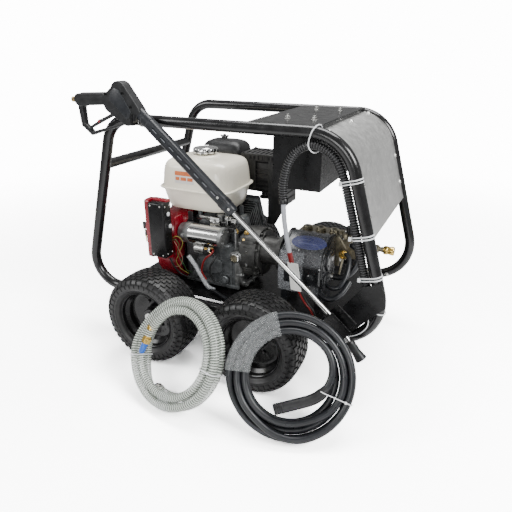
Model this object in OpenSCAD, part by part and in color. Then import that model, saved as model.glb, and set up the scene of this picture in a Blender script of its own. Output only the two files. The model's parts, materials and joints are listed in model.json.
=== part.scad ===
// Four-wheeled petrol pressure washer: tube frame, engine, gearbox, plunger pump, lance and hoses.
// Millimetres. +X points to the pump end, -Y to the operator's side, +Z up.
// The origin is on the floor, midway between the two side hoops and midway along their top rails.

/* [Frame] */
// Outside diameter of the frame tube
tube_d = 33.7; // [32:0.1:35]
// Wall thickness of the frame tube
tube_wall = 2.6; // [1.5:0.1:4]
// Distance between the centre planes of the two side hoops
track = 490; // [488:1:494]
// Height of the top rail's centre line above the floor
rail_top_z = 755; // [752:1:760]
// Height of the bottom rail's centre line above the floor
rail_bottom_z = 168; // [166:1:170]
// Centre-line bend radius of the hoop corners at the engine end
bend_left_r = 95; // [85:1:105]
// Centre-line bend radius of the hoop corners at the pump end
bend_right_r = 131; // [125:1:135]

/* [Wheels] */
// Outside diameter of the tyres
wheel_d = 303; // [300:1:306]
// Width of the tyres
wheel_w = 127; // [120:1:128]
// Distance from the middle plane to the outer side of the tyres
wheel_outer_y = 407; // [405:1:409]
// Place along X of the axle at the engine end
axle_left_x = -199.5; // [-201:0.5:-198]
// Place along X of the axle at the pump end
axle_right_x = 170.5; // [169:0.5:172]
// Diameter of the axles
axle_d = 20; // [19:1:20]

/* [Engine] */
// Height of the crankshaft above the floor
crank_z = 305; // [304:0.5:306]
// Place of the crankshaft across the machine
crank_y = -60; // [-61:0.5:-59]
// Length of the fuel tank's flange
tank_l = 280; // [274:1:284]
// Width of the fuel tank's flange
tank_w = 238; // [232:1:240]

/* [Pump] */
// Module of the reduction gears
gear_module = 1.5; // [1.5:0.5:1.5]
// Teeth of the pinion on the engine's crankshaft
pinion_teeth = 21; // [21:1:21]
// Teeth of the gear on the pump's crankshaft
gear_teeth = 44; // [44:1:44]
// Distance between the three plungers
plunger_pitch = 46; // [45:0.5:47]

/* [Lance] */
// Distance of the lance's axis from the middle plane, on the operator's side
lance_y = 292; // [290:1:294]
// Slope of the lance below the horizontal
lance_tilt = 40.8; // [40:0.1:41.5]
// Diameter of the lance's steel tube
lance_d = 15; // [13:0.5:16]

/* [Hoses] */
// Outside diameter of the clear suction hose
suction_hose_d = 25; // [24:0.5:25]
// Outer radius of the suction hose's coil
suction_coil_r = 163; // [155:1:163]
// Outside diameter of the black high-pressure hose
delivery_hose_d = 20; // [18:0.5:20]
// Outer radius of the delivery hose's coil
delivery_coil_r = 171; // [163:1:171]

/* [Hidden] */

$fn = 48;
eps = 0.01;
hull_fn = 32;

tube_r = tube_d / 2;
hoop_y = track / 2;
half_top = 376.5;               // hoop's corner points, where the straight centre lines meet
half_bottom = 545.5;
leg_tilt = atan((half_bottom - half_top) / (rail_top_z - rail_bottom_z));
leg_dir = [sin(leg_tilt), -cos(leg_tilt)];

axle_z = wheel_d / 2;
axle_r = axle_d / 2;
rim_r = 0.64 * wheel_d / 2;     // bead seat of the rims
axle_xs = [axle_left_x, axle_right_x];

deck_t = 4;
deck_z = rail_bottom_z + tube_r;        // underside of the deck plate, on the cross tubes
deck_top = deck_z + deck_t;
inner_y = hoop_y - tube_r;              // inner faces of the hoops

plate_t = 3;
plate_top = rail_top_z + tube_r - 3;    // top face of the top plate
plate_x0 = 87;
plate_x1 = 303;
plate_y = inner_y - 0.5;

box_x0 = 133;
box_x1 = 282;
box_y = 150;
box_z0 = 570;
box_z1 = plate_top - plate_t;
sheet_t = 2;

block_x0 = -185;                        // crankcase
block_x1 = 0;
block_y0 = crank_y - 90;
block_y1 = crank_y + 90;
block_z0 = 201;
block_z1 = 380;
cover_x1 = 20;                          // outer face of the crankcase cover
case_x1 = 75;                           // end of the gear case
pump_x0 = 158;                          // pump crankcase
pump_x1 = 305;
journal_r = 15;
pump_journal_r = 12;
bearing_gap = 0.05;

gear_c = gear_module * (pinion_teeth + gear_teeth) / 2;
pump_y = crank_y - gear_c * sin(45);    // axis of the pump's crankshaft
pump_z = crank_z + gear_c * cos(45);
gear_x0 = 42;
gear_w = 20;

cylinder_tilt = 25;                     // engine cylinder above the horizontal
bore_r = 44;
cylinder_x = -92;
barrel_end = 190;                       // crankshaft axis to the head joint, along the cylinder

tank_x0 = -305;
tank_y0 = -150;
flange_z = 518;
flange_t = 5;
tank_z0 = 447;
tank_z1 = 616;

head_y0 = -20;                          // pump head
head_y1 = 48;
head_z0 = 292;
head_z1 = 396;
plunger_xs = [for (i = [-1:1]) 245 + i * plunger_pitch];
outlet_y = 12;
outlet_z = 362;

grip_start = [-228, -lance_y, 784];     // upper end of the insulating grip, on the lance's axis
grip_l = 402;
grip_a = 40;                            // grip's depth in the lance's plane
grip_b = 34;                            // grip's width across it
tube_end = grip_l + 400;                // end of the straight steel tube, from the grip's upper end
tip_bend = 10;                          // bend of the lance's end
tip_l = 75;                             // straight tube between the bend and the nozzle guard
tip_bend_r = 80;
rod_r = 4;

conduit_d = 25;
cable_d = 14;
bypass_d = 20;

// Route of the conduit, in the near hoop's plane: [x, z]
conduit_route = [[209, 563], [206, 595], [210, 632], [222, 672], [246, 705], [284, 723], [322, 713],
                 [349, 693], [368, 662], [381.5, 620], [396, 570], [412, 515], [429, 456], [445, 397],
                 [461, 340], [470, 300], [465, 264], [448, 235], [421, 212.5], [389, 201]];
// Route of the starter cable, from the conduit's end face to the deck
cable_route = [[209.2, -245, 561.8], [209, -245, 545], [212, -243, 500], [218, -237, 450],
               [225, -228, 400], [234, -218, 345], [246, -209, 290], [268, -202, 240],
               [292, -200, 210], [300, -200, 192]];
// Route of the bypass hose, from the pump case to the unloader valve
bypass_route = [[305.1, -66, 274], [320, -66, 273], [340, -66, 275], [360, -64, 284],
                [376, -58, 302], [386, -50, 325], [386, -42, 350], [376, -32, 367], [362, -22, 372],
                [358, -12.1, 372]];

// ---------------------------------------------------------------- shared shapes

// Round bar between two points
module bar(a, b, r) {
    d = b - a;
    l = norm(d);
    translate(a) rotate([0, acos(d[2] / l), atan2(d[1], d[0])]) cylinder(h = l, r = r);
}

// Lays a drawing made in the XY plane upright, so that its Y becomes Z and its Z becomes -Y
module upright() { rotate([90, 0, 0]) children(); }

// Solid of revolution about the X axis: its drawing's X is the radius and its Y runs along +X
module turned_x(fn = 96) { rotate([90, 0, 90]) rotate_extrude($fn = fn) children(); }

// Cylinder along X
module cyl_x(x0, x1, y, z, r) { translate([x0, y, z]) rotate([0, 90, 0]) cylinder(h = x1 - x0, r = r); }

// Cylinder along Y
module cyl_y(y0, y1, x, z, r) { translate([x, y0, z]) rotate([-90, 0, 0]) cylinder(h = y1 - y0, r = r); }

// Cylinder along Z
module cyl_z(z0, z1, x, y, r) { translate([x, y, z0]) cylinder(h = z1 - z0, r = r); }

// Box from its two corners
module block(a, b) { translate(a) cube(b - a); }

// Plate with rounded corners, lying flat
module rounded_plate(x0, x1, y0, y1, z0, z1, r) {
    union() {
        block([x0 + r, y0, z0], [x1 - r, y1, z1]);
        block([x0, y0 + r, z0], [x1, y1 - r, z1]);
        for (x = [x0 + r, x1 - r], y = [y0 + r, y1 - r]) cyl_z(z0, z1, x, y, r);
    }
}

// Frame of axes carried along a route without twist: returns the side vector at each point
function unit(v) = v / norm(v);
function tangent(p, i) = unit(p[min(i + 1, len(p) - 1)] - p[max(i - 1, 0)]);
function side(p, i, ref) = unit(cross(tangent(p, i), ref));

// Smooth route through the points, with n steps to each stretch
function spline_point(p, i, t) =
    let (a = p[max(i - 1, 0)], b = p[i], c = p[min(i + 1, len(p) - 1)], d = p[min(i + 2, len(p) - 1)])
    0.5 * (2 * b + (c - a) * t + (2 * a - 5 * b + 4 * c - d) * t * t + (3 * b - a - 3 * c + d) * t * t * t);
function smooth_route(p, n) =
    concat([for (i = [0:len(p) - 2], k = [0:n - 1]) spline_point(p, i, k / n)], [p[len(p) - 1]]);

// Round tube swept along a route; ref is a direction that the route never runs along
module sweep(route, r, ref, sides) {
    rings = [for (i = [0:len(route) - 1])
        let (u = side(route, i, ref), v = cross(tangent(route, i), u))
        for (k = [0:sides - 1]) route[i] + r * (cos(360 * k / sides) * u + sin(360 * k / sides) * v)];
    n = len(route);
    walls = [for (i = [0:n - 2], k = [0:sides - 1])
        let (a = i * sides + k, b = i * sides + (k + 1) % sides)
        [a, b, b + sides, a + sides]];
    ends = [[for (k = [sides - 1:-1:0]) k], [for (k = [0:sides - 1]) (n - 1) * sides + k]];
    polyhedron(points = rings, faces = concat(walls, ends), convexity = 6);
}

// ---------------------------------------------------------------- frame

// Closed loop of steel tube in the XY plane: bends and straight runs, butt-welded at the joints
weld_gap = 0.02;
module tube_loop() {
    corners = [[-half_top, rail_top_z], [-half_bottom, rail_bottom_z],
               [half_bottom, rail_bottom_z], [half_top, rail_top_z]];
    radii = [bend_left_r, bend_left_r, bend_right_r, bend_right_r];
    for (i = [0:3]) {
        p = corners[i];
        before = unit(p - corners[(i + 3) % 4]);
        after = unit(corners[(i + 1) % 4] - p);
        turn = acos(before * after);
        reach = radii[i] * tan(turn / 2);
        next_after = unit(corners[(i + 2) % 4] - corners[(i + 1) % 4]);
        next_reach = radii[(i + 1) % 4] * tan(acos(after * next_after) / 2);
        centre = p - before * reach + [-before[1], before[0]] * radii[i];
        translate([centre[0], centre[1], 0]) rotate(atan2(before[1], before[0]) - 90)
            rotate_extrude(angle = turn, $fn = 96) translate([radii[i], 0]) difference() {
                circle(tube_r);
                circle(tube_r - tube_wall);
            }
        a = p + after * (reach + weld_gap);
        b = corners[(i + 1) % 4] - after * (next_reach + weld_gap);
        translate([a[0], a[1], 0]) rotate(atan2(after[1], after[0])) rotate([0, 90, 0]) difference() {
            cylinder(h = norm(b - a), r = tube_r);
            translate([0, 0, -1]) cylinder(h = norm(b - a) + 2, r = tube_r - tube_wall);
        }
    }
}

module hoop(y) {
    color([0.03, 0.03, 0.03]) difference() {
        translate([0, y, 0]) upright() tube_loop();
        for (x = axle_xs) cyl_y(y - tube_r - 1, y + tube_r + 1, x, axle_z, axle_r + 0.02);
    }
}

module hoop_near() { hoop(-hoop_y); }
module hoop_far() { hoop(hoop_y); }

// Centre of the left or right leg at a height
function leg_x(z, s) = s * (half_top + (rail_top_z - z) * tan(leg_tilt));

// Upper tie between the left legs and two ties between the bottom rails, coped to the hoops
module cross_tubes() {
    upper_z = 605;
    color([0.03, 0.03, 0.03]) difference() {
        union() {
            cyl_y(-hoop_y, hoop_y, leg_x(upper_z, -1), upper_z, tube_r - 1);
            for (x = [-330, 330]) cyl_y(-hoop_y, hoop_y, x, rail_bottom_z, tube_r - eps);
        }
        cyl_y(-track, track, leg_x(upper_z, -1), upper_z, tube_r - 1 - tube_wall);
        for (x = [-330, 330]) cyl_y(-track, track, x, rail_bottom_z, tube_r - tube_wall);
        for (s = [-1, 1]) {
            translate([0, s * hoop_y, 0]) upright()
                bar([leg_x(upper_z + 90, -1), upper_z + 90, 0], [leg_x(upper_z - 90, -1), upper_z - 90, 0],
                    tube_r + 0.05);
            cyl_x(-400, 400, s * hoop_y, rail_bottom_z, tube_r + 0.05);
        }
    }
}

module deck_plate() {
    color([0.05, 0.05, 0.05]) difference() {
        block([-390, -inner_y + 0.3, deck_z], [405, inner_y - 0.3, deck_top]);
        for (x = [-300, 390], y = [-150, 150]) cyl_z(deck_z - 1, deck_top + 1, x, y, 5.5);
    }
}

// Plate between the top rails, with a folded lip at each end and slotted holes for a hose reel
module top_plate() {
    color([0.09, 0.09, 0.1]) difference() {
        union() {
            block([plate_x0, -plate_y, plate_top - plate_t], [plate_x1, plate_y, plate_top]);
            block([plate_x1 - plate_t, -plate_y, plate_top - 22], [plate_x1, plate_y, plate_top]);
            block([plate_x0, -plate_y, plate_top - 12], [plate_x0 + plate_t, plate_y, plate_top]);
        }
        for (x = [170, 220], y = [-50, 50]) cyl_z(plate_top - 9, plate_top + 1, x, y, 3.5);
        for (x = [110, 200])
            block([x, -plate_y + 6, plate_top - 9], [x + 70, -plate_y + 10, plate_top + 1]);
        for (x = hanger_xs, y = hanger_ys) cyl_z(plate_top - 9, plate_top + 1, x, y, 4.05);
    }
}
hanger_xs = [167.5, 247.5];
hanger_ys = [-127, 127];

// Stainless sheet that closes the pump end, bent round the same corner as the hoops
cover_off = 7;
cover_t = 1.5;
cover_end_z = 480;
cover_y = inner_y - 0.6;
cover_corner = [half_top, rail_top_z];
cover_reach = bend_right_r * tan((90 - leg_tilt) / 2);
cover_centre = [half_top - cover_reach, rail_top_z - bend_right_r];
// One face of the cover's section, in the XZ plane: from the plate, round the bend, down the legs
function cover_start(r) = acos((plate_x1 + 0.2 - cover_centre[0]) / r);
function cover_line(r) = concat(
    [for (i = [0:cover_steps])
        let (a = cover_start(r) + i * (leg_tilt - cover_start(r)) / cover_steps)
        cover_centre + r * [cos(a), sin(a)]],
    [cover_centre + r * [cos(leg_tilt), sin(leg_tilt)]
        + leg_dir * (cover_centre[1] + r * sin(leg_tilt) - cover_end_z) / cos(leg_tilt)]);
cover_steps = 24;
module end_cover() {
    outer = cover_line(bend_right_r + cover_off);
    inner = cover_line(bend_right_r + cover_off - cover_t);
    color([0.72, 0.72, 0.7]) difference() {
        translate([0, cover_y, 0]) upright() linear_extrude(2 * cover_y)
            polygon(concat(outer, [for (i = [len(inner) - 1:-1:0]) inner[i]]));
        for (p = cover_screw_places) translate([p[0], p[1], p[2]]) rotate([0, 90 - p[3], 0])
            cylinder(h = 12, r = 3.05, center = true);
    }
}
// Places of the cover's dome screws on the sheet's outer face: [x, y, z, angle of the face's normal]
function on_bend(a) = cover_centre + (bend_right_r + cover_off) * [cos(a), sin(a)];
function on_leg(d) = cover_centre + (bend_right_r + cover_off) * [cos(leg_tilt), sin(leg_tilt)] + d * leg_dir;
cover_screw_places = concat(
    [for (y = [-cover_y + 12, 0, cover_y - 12]) [on_bend(72)[0], y, on_bend(72)[1], 72]],
    [for (s = [-1, 1], d = [40, 130]) [on_leg(d)[0], s * (cover_y - 12), on_leg(d)[1], leg_tilt]]);

// Dome screws of the end cover, and the hose reel's studs and nuts on the top plate
module frame_screws() {
    color([0.7, 0.7, 0.7]) union() {
        for (p = cover_screw_places) translate([p[0], p[1], p[2]]) rotate([0, 90 - p[3], 0]) union() {
            intersection() {
                translate([0, 0, -3]) sphere(r = 8);
                cylinder(h = 6, r = 7);
            }
            translate([0, 0, -7]) cylinder(h = 7 + eps, r = 3);
        }
        for (x = hanger_xs, y = hanger_ys) union() {
            cyl_z(plate_top, plate_top + 1.5, x, y, 9);
            translate([x, y, plate_top + 1.5 - eps]) cylinder(h = 6.5, r = 7.5, $fn = 6);
            cyl_z(plate_top - 10, plate_top + 1, x, y, 3.5);
            cyl_z(plate_top + eps, plate_top + 13, x, y, 4);
        }
    }
}

// Sheet-metal box hung under the top plate
module battery_box() {
    color([0.04, 0.04, 0.04]) difference() {
        block([box_x0, -box_y, box_z0], [box_x1, box_y, box_z1]);
        block([box_x0 + sheet_t, -box_y + sheet_t, box_z0 + sheet_t],
              [box_x1 - sheet_t, box_y - sheet_t, box_z1 - sheet_t]);
        for (x = hanger_xs, y = hanger_ys) cyl_z(box_z1 - 8, box_z1 + 1, x, y, 4.1);
        for (x = [170, 220], y = [-50, 50]) cyl_z(box_z1 - 8, box_z1 + 1, x, y, 6);
    }
}

module battery() {
    color([0.1, 0.1, 0.12]) union() {
        block([box_x0 + 10, -98, box_z0 + sheet_t], [box_x1 - 10, 98, box_z0 + sheet_t + 160]);
        for (y = [-75, 75]) cyl_z(box_z0 + 160, box_z0 + 178, box_x0 + 30, y, 8);
    }
}

// Open channel that holds the lance's lower end on the near right leg, and the hook under its grip
module lance_rests() {
    plate_y0 = -hoop_y - tube_r;
    sleeve_mid = [399, 240];
    sleeve_l = 76;
    color([0.04, 0.04, 0.04]) union() {
        translate([0, plate_y0, 0]) upright() linear_extrude(3)
            polygon([[404, 283], [454, 352], [500, 374], [518, 342], [521, 300], [511, 292],
                     [440, 215], [420, 200]]);
        translate([sleeve_mid[0], plate_y0 - 3 - 27.5 + eps, sleeve_mid[1]]) rotate([0, 90 + lance_tilt, 0])
            difference() {
                cube([60, 55, sleeve_l], center = true);
                block([-40, -24.5, -sleeve_l], [27, 24.5, sleeve_l]);
            }
        bar([-236, plate_y0 + 0.3, 752], [-236, -318, 752], rod_r);
        translate([-236, -318, 752]) sphere(rod_r);
        bar([-236, -318, 752], [-236, -318, 782], rod_r);
    }
}

// ---------------------------------------------------------------- wheels

axle_len = wheel_outer_y - 40;
module axles() {
    color([0.5, 0.5, 0.5]) for (x = axle_xs) cyl_y(-axle_len, axle_len, x, axle_z, axle_r);
}

// Collars that stand inside the wheels and the caps on the axles' ends
module axle_caps() {
    color([0.6, 0.6, 0.58]) for (x = axle_xs, s = [-1, 1]) {
        a = s * axle_len;
        b = s * (axle_len + 6);
        cyl_y(min(a, b), max(a, b), x, axle_z, 16);
    }
}

// Pneumatic tyre: rounded tread, bulging sides and bead
module tyre(x, s) {
    r = wheel_d / 2;
    h = wheel_w / 2;
    y = s * (wheel_outer_y - h);
    color([0.04, 0.04, 0.04]) translate([x, y, axle_z]) rotate([90, 0, 0])
        rotate_extrude($fn = 120) difference() {
            polygon([[rim_r, -h + 16], [rim_r + 12, -h + 6], [r - 34, -h], [r - 16, -h + 5], [r - 5, -h + 20],
                     [r, 0], [r - 5, h - 20], [r - 16, h - 5], [r - 34, h], [rim_r + 12, h - 6],
                     [rim_r, h - 16]]);
            translate([rim_r - 1, -h + 26]) square([30, 2 * h - 52]);
        }
}

// Deep pressed-steel rim with its hub and bearing bore
module rim(x, s) {
    h = wheel_w / 2;
    y = s * (wheel_outer_y - h);
    color([0.05, 0.05, 0.05]) translate([x, y, axle_z]) rotate([90 * s, 0, 0])
        rotate_extrude($fn = 120) union() {
            polygon([[rim_r - 0.2, -h + 17], [rim_r - 0.2, h - 17], [rim_r - 3, h - 14], [rim_r - 6, h - 17],
                     [rim_r - 6, h - 30], [rim_r - 16, h - 40], [rim_r - 16, -h + 40], [rim_r - 6, -h + 30],
                     [rim_r - 6, -h + 17], [rim_r - 3, -h + 14]]);
            polygon([[rim_r - 15, -4], [rim_r - 15, 1], [70, 4], [52, 13], [24, 15], [24, h - 42],
                     [axle_r + bearing_gap, h - 42], [axle_r + bearing_gap, -h + 41],
                     [22, -h + 41], [24, 10], [50, 8], [68, -1]]);
        }
}

module tyre_left_near() { tyre(axle_left_x, -1); }
module tyre_left_far() { tyre(axle_left_x, 1); }
module tyre_right_near() { tyre(axle_right_x, -1); }
module tyre_right_far() { tyre(axle_right_x, 1); }
module rim_left_near() { rim(axle_left_x, -1); }
module rim_left_far() { rim(axle_left_x, 1); }
module rim_right_near() { rim(axle_right_x, -1); }
module rim_right_far() { rim(axle_right_x, 1); }

// ---------------------------------------------------------------- engine

// Turns a shape drawn with +Z along the engine's cylinder into place
module along_cylinder() {
    translate([cylinder_x, crank_y, crank_z]) rotate([cylinder_tilt - 90, 0, 0]) children();
}

module engine_block() {
    color([0.35, 0.36, 0.36]) difference() {
        union() {
            block([block_x0, block_y0, block_z0 + 6], [block_x1, block_y1, block_z1 - 30]);
            block([block_x0 + 20, block_y0 + 40, block_z0 + 6], [block_x1 - 10, block_y1 - 30, block_z1]);
            block([block_x0 + 5, block_y0 - 4, block_z0], [block_x1 - 5, block_y1 + 4, block_z0 + 12]);
            along_cylinder() {
                cylinder(h = barrel_end, r = bore_r + 8);
                for (i = [0:6]) translate([-65, -62, 104 + i * 12]) cube([130, 124, 4]);
            }
            for (x = [-150, -50], y = [-110, 0]) cyl_z(block_z1 - 40, tank_z0, x, y, 8);
        }
        block([block_x0 + 12, block_y0 + 10, block_z0 + 14], [block_x1 + 1, block_y1 - 10, block_z1 - 42]);
        cyl_x(block_x0 - 1, block_x0 + 14, crank_y, crank_z, journal_r + bearing_gap);
        cyl_x(block_x0 + 12, block_x1 + 1, crank_y, crank_z, 60);
        along_cylinder() translate([0, 0, 70]) cylinder(h = 200, r = bore_r);
    }
}

// Crankcase cover on the output side, with the oil filler's neck
module crank_cover() {
    color([0.4, 0.41, 0.41]) difference() {
        union() {
            block([block_x1, block_y0 - eps, block_z0 + 6], [cover_x1 - 8, block_y1, block_z1 - 30]);
            cyl_x(cover_x1 - 8 - eps, cover_x1, crank_y, crank_z, 80);
            cyl_y(block_y0 - 14, block_y0, 3, 322, 16);
            block([4, block_y0 - 6, 345], [10, block_y0 + 10, 415]);
        }
        cyl_x(-1, cover_x1 + 1, crank_y, crank_z, journal_r + bearing_gap);
        cyl_y(block_y0 - 15, block_y0 - 4, 3, 322, 12);
    }
}

module cylinder_head() {
    color([0.3, 0.3, 0.3]) along_cylinder() union() {
        translate([-62, -60, barrel_end]) cube([124, 120, 24]);
        for (i = [0:2]) translate([-66, -62, barrel_end + 4 + i * 8]) cube([132, 124, 3]);
        translate([-50, -48, barrel_end + 24 - eps]) cube([100, 96, 22]);
    }
}

module piston() {
    color([0.6, 0.6, 0.6]) along_cylinder() translate([0, 0, 130]) difference() {
        cylinder(h = 52, r = bore_r - 0.1);
        translate([0, 0, -1]) cylinder(h = 42, r = bore_r - 8);
    }
}

// Shaft with two webs and a crank pin; the journals run through the block and its cover
module crankshaft() {
    stroke_r = 32;
    color([0.5, 0.5, 0.5]) union() {
        cyl_x(-262, cylinder_x - 20, crank_y, crank_z, journal_r);
        cyl_x(cylinder_x + 20, gear_x0 - 0.2, crank_y, crank_z, journal_r);
        cyl_x(gear_x0 - 0.2 - eps, case_x1 - 8, crank_y, crank_z, 10);
        for (x = [cylinder_x - 35, cylinder_x + 20]) cyl_x(x, x + 15, crank_y, crank_z, 48);
        cyl_x(cylinder_x - 20 - eps, cylinder_x + 20 + eps, crank_y, crank_z - stroke_r * 0.85, 16);
    }
}

// Cast flywheel with its starter ring and cooling fan blades
module flywheel() {
    color([0.45, 0.45, 0.45]) translate([0, crank_y, crank_z]) difference() {
        union() {
            cyl_x(-236, -206, 0, 0, 94);
            cyl_x(-216, -206, 0, 0, 100);
            for (i = [0:15]) rotate([i * 22.5, 0, 0]) block([-256, 55, -2], [-236 + eps, 90, 2]);
            cyl_x(-250, -236 + eps, 0, 0, 32);
        }
        cyl_x(-260, -200, 0, 0, journal_r);
        cyl_x(-207, -200, 0, 0, 82);
    }
}

// Blower housing over the flywheel, with a flat bottom above the deck
fan_floor = 196 - crank_z;
module fan_cover() {
    color([0.62, 0.02, 0.04]) translate([0, crank_y, crank_z]) difference() {
        intersection() {
            turned_x() polygon([[0, -293], [122, -293], [131, -288], [134, -280], [134, -188], [0, -188]]);
            block([-300, -200, fan_floor], [-180, 200, 200]);
        }
        intersection() {
            turned_x() polygon([[0, -290], [121, -290], [129, -286], [131, -279], [131, -187], [0, -187]]);
            block([-300, -200, fan_floor + 3], [-180, 200, 200]);
        }
        cyl_x(-294, -289, 0, 0, 90);
    }
}

// Recoil starter dish with its air slots
module recoil_cover() {
    color([0.62, 0.02, 0.04]) translate([0, crank_y, crank_z]) difference() {
        turned_x() polygon([[96, -293.2], [96, -300], [84, -322], [70, -332], [0, -332], [0, -329],
                            [68, -329], [81, -320], [92, -299], [92, -293.2]]);
        for (i = [0:11]) rotate([i * 30 + 8, 0, 0]) block([-334, 34, -5], [-326, 62, 5]);
        rotate([-40, 0, 0]) cyl_y(-110, -70, -308, 0, 7);
    }
}

// Pull handle and the end of its rope
module recoil_handle() {
    color([0.05, 0.05, 0.05]) translate([0, crank_y, crank_z]) rotate([-40, 0, 0]) union() {
        cyl_y(-97 - 24, -97, -308, 0, 9);
        cyl_x(-332, -294.3, -118, 0, 8);
        cyl_y(-98, -40, -308, 0, 2.5);
    }
}

// Fuel tank: two pressed shells joined at a flange, hollow, with a filler neck
module tank_shape(inset) {
    x1 = tank_x0 + tank_l;
    y1 = tank_y0 + tank_w;
    r = 34 - inset;
    hull() {
        for (x = [tank_x0 + 46, x1 - 46], y = [tank_y0 + 46, y1 - 46])
            translate([x, y, tank_z0 + inset]) cylinder(h = 1, r = 26 - inset, $fn = hull_fn);
        for (x = [tank_x0 + 42, x1 - 42], y = [tank_y0 + 42, y1 - 42])
            translate([x, y, flange_z]) cylinder(h = flange_t, r = r, $fn = hull_fn);
    }
    hull() {
        for (x = [tank_x0 + 42, x1 - 42], y = [tank_y0 + 42, y1 - 42])
            translate([x, y, flange_z]) cylinder(h = flange_t, r = r, $fn = hull_fn);
        for (x = [tank_x0 + 52, x1 - 52], y = [tank_y0 + 52, y1 - 52])
            translate([x, y, tank_z1 - 26]) sphere(r = 26 - inset, $fn = 24);
        for (x = [tank_x0 + 46, x1 - 46], y = [tank_y0 + 46, y1 - 46])
            translate([x, y, tank_z1 - 40]) cylinder(h = 1, r = 32 - inset, $fn = hull_fn);
    }
}

neck = [-178, -14];
module fuel_tank() {
    color([0.85, 0.83, 0.77]) difference() {
        union() {
            tank_shape(0);
            rounded_plate(tank_x0, tank_x0 + tank_l, tank_y0, tank_y0 + tank_w, flange_z, flange_z + flange_t, 40);
            cyl_z(tank_z1 - 6, tank_z1 + 8, neck[0], neck[1], 34);
        }
        tank_shape(2);
        cyl_z(tank_z1 - 10, tank_z1 + 9, neck[0], neck[1], 31);
    }
}

module fuel_cap() {
    color([0.75, 0.75, 0.72]) difference() {
        union() {
            cyl_z(tank_z1 + 9, tank_z1 + 24, neck[0], neck[1], 43);
            cyl_z(tank_z1 + 24 - eps, tank_z1 + 29, neck[0], neck[1], 36);
        }
        for (i = [0:7]) translate([neck[0], neck[1], 0]) rotate(i * 45) cyl_z(tank_z1, tank_z1 + 40, 48, 0, 9);
    }
}

module air_cleaner() {
    color([0.05, 0.05, 0.05]) union() {
        rounded_plate(-270, -116, 100, 206, 500, 592, 14);
        hull() for (x = [-262, -124], y = [112, 194]) {
            translate([x, y, 592 - eps]) cylinder(h = 16, r = 20, $fn = hull_fn);
            translate([x, y, 632]) sphere(r = 14, $fn = 24);
        }
        cyl_z(640, 652, -193, 150, 4);
        block([-156, 108, 452], [-120, 132, 500 + eps]);
    }
}

module wing_nut() {
    color([0.05, 0.05, 0.05]) union() {
        difference() {
            cyl_z(648, 660, -193, 150, 12);
            cyl_z(646, 653, -193, 150, 4.05);
        }
        block([-219, 147, 650], [-204, 153, 662]);
        block([-182, 147, 650], [-167, 153, 662]);
    }
}

module muffler() {
    color([0.05, 0.05, 0.05]) union() {
        difference() {
            rounded_plate(-62, 62, 104, 205, 470, 584, 12);
            for (i = [0:3]) block([-40, 100, 488 + i * 24], [40, 107, 492 + i * 24]);
        }
        cyl_z(440, 470 + eps, -24, 150, 15);
    }
}

// Slotted heat guard over the muffler and its side shield
module muffler_guard() {
    color([0.12, 0.12, 0.12]) union() {
        difference() {
            block([-98, 94, 586], [72, 212, 610]);
            block([-96, 96, 585], [70, 210, 608]);
            for (i = [0:10]) block([-88 + i * 14, 93, 592], [-82 + i * 14, 97, 604]);
            for (x = [-84:18:42], y = [108, 158]) block([x, y, 600], [x + 8, y + 40, 612]);
        }
        translate([0, 96, 0]) upright() linear_extrude(2)
            polygon([[10, 588], [72, 588], [72, 420], [40, 360], [10, 360]]);
    }
}

module starter_motor() {
    color([0.75, 0.75, 0.72]) union() {
        cyl_x(-158, -30, -168, 386, 33);
        cyl_x(-30 - eps, -24, -168, 386, 27);
        cyl_x(-186, -158 + eps, -168, 386, 27);
        cyl_x(-132, -72, -176, 336, 16);
        block([-130, -180, 345], [-112, -165, 360]);
    }
}

// Electrical box on the blower housing: key switch and breaker
module control_box() {
    color([0.1, 0.03, 0.03]) union() {
        block([-258, -248, 312], [-200, -206, 500]);
        block([-276, -250, 306], [-258 + eps, -204, 506]);
        block([-250, -206 - eps, 290], [-220, -194.1, 330]);
        cyl_x(-284, -276 + eps, -227, 408, 12);
    }
}

module ignition_key() {
    color([0.1, 0.1, 0.1]) union() {
        cyl_x(-290, -284.3, -227, 408, 5);
        block([-304, -229.5, 396], [-290 + eps, -224.5, 420]);
        block([-300, -228, 368], [-299, -226, 396]);
    }
}

module engine_mounts() {
    color([0.05, 0.05, 0.05]) for (x = [-160, -25], y = [block_y0 + 18, block_y1 - 18])
        cyl_z(deck_top, block_z0, x, y, 16);
}

// Throttle lever on its bracket beside the crankcase cover
module throttle_lever() {
    color([0.1, 0.1, 0.1]) union() {
        cyl_x(10.4, 13.6, block_y0 - 2, 408, 8);
        translate([12, block_y0 - 2, 408]) rotate([28, 0, 0]) block([-1.4, -3.5, 0], [1.4, 3.5, 46]);
        translate([12, block_y0 - 2, 408]) rotate([28, 0, 0]) cyl_x(-5, 5, 0, 48, 7);
    }
}

// ---------------------------------------------------------------- gearbox and pump

// Gearbox between the engine's cover and the pump
module gear_case() {
    mid_y = (crank_y + pump_y) / 2;
    mid_z = (crank_z + pump_z) / 2;
    color([0.3, 0.31, 0.31]) difference() {
        union() {
            cyl_x(cover_x1, case_x1, mid_y, mid_z, 82);
            cyl_x(case_x1 - eps, case_x1 + 12, mid_y, mid_z, 74);
            cyl_x(case_x1, pump_x0, pump_y, pump_z, 46);
            cyl_x(pump_x0 - 12, pump_x0, pump_y, pump_z, 60);
            for (i = [0:7]) translate([case_x1 - 6, mid_y, mid_z]) rotate([i * 45 + 22, 0, 0])
                cyl_x(0, 14, 0, 77, 5);
        }
        cyl_x(cover_x1 + 6, case_x1 - 4, mid_y, mid_z, 70);
        cyl_x(cover_x1 - 1, cover_x1 + 8, crank_y, crank_z, journal_r + bearing_gap);
        cyl_x(case_x1 - 6, pump_x0 + 1, pump_y, pump_z, pump_journal_r + bearing_gap);
    }
}

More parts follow.
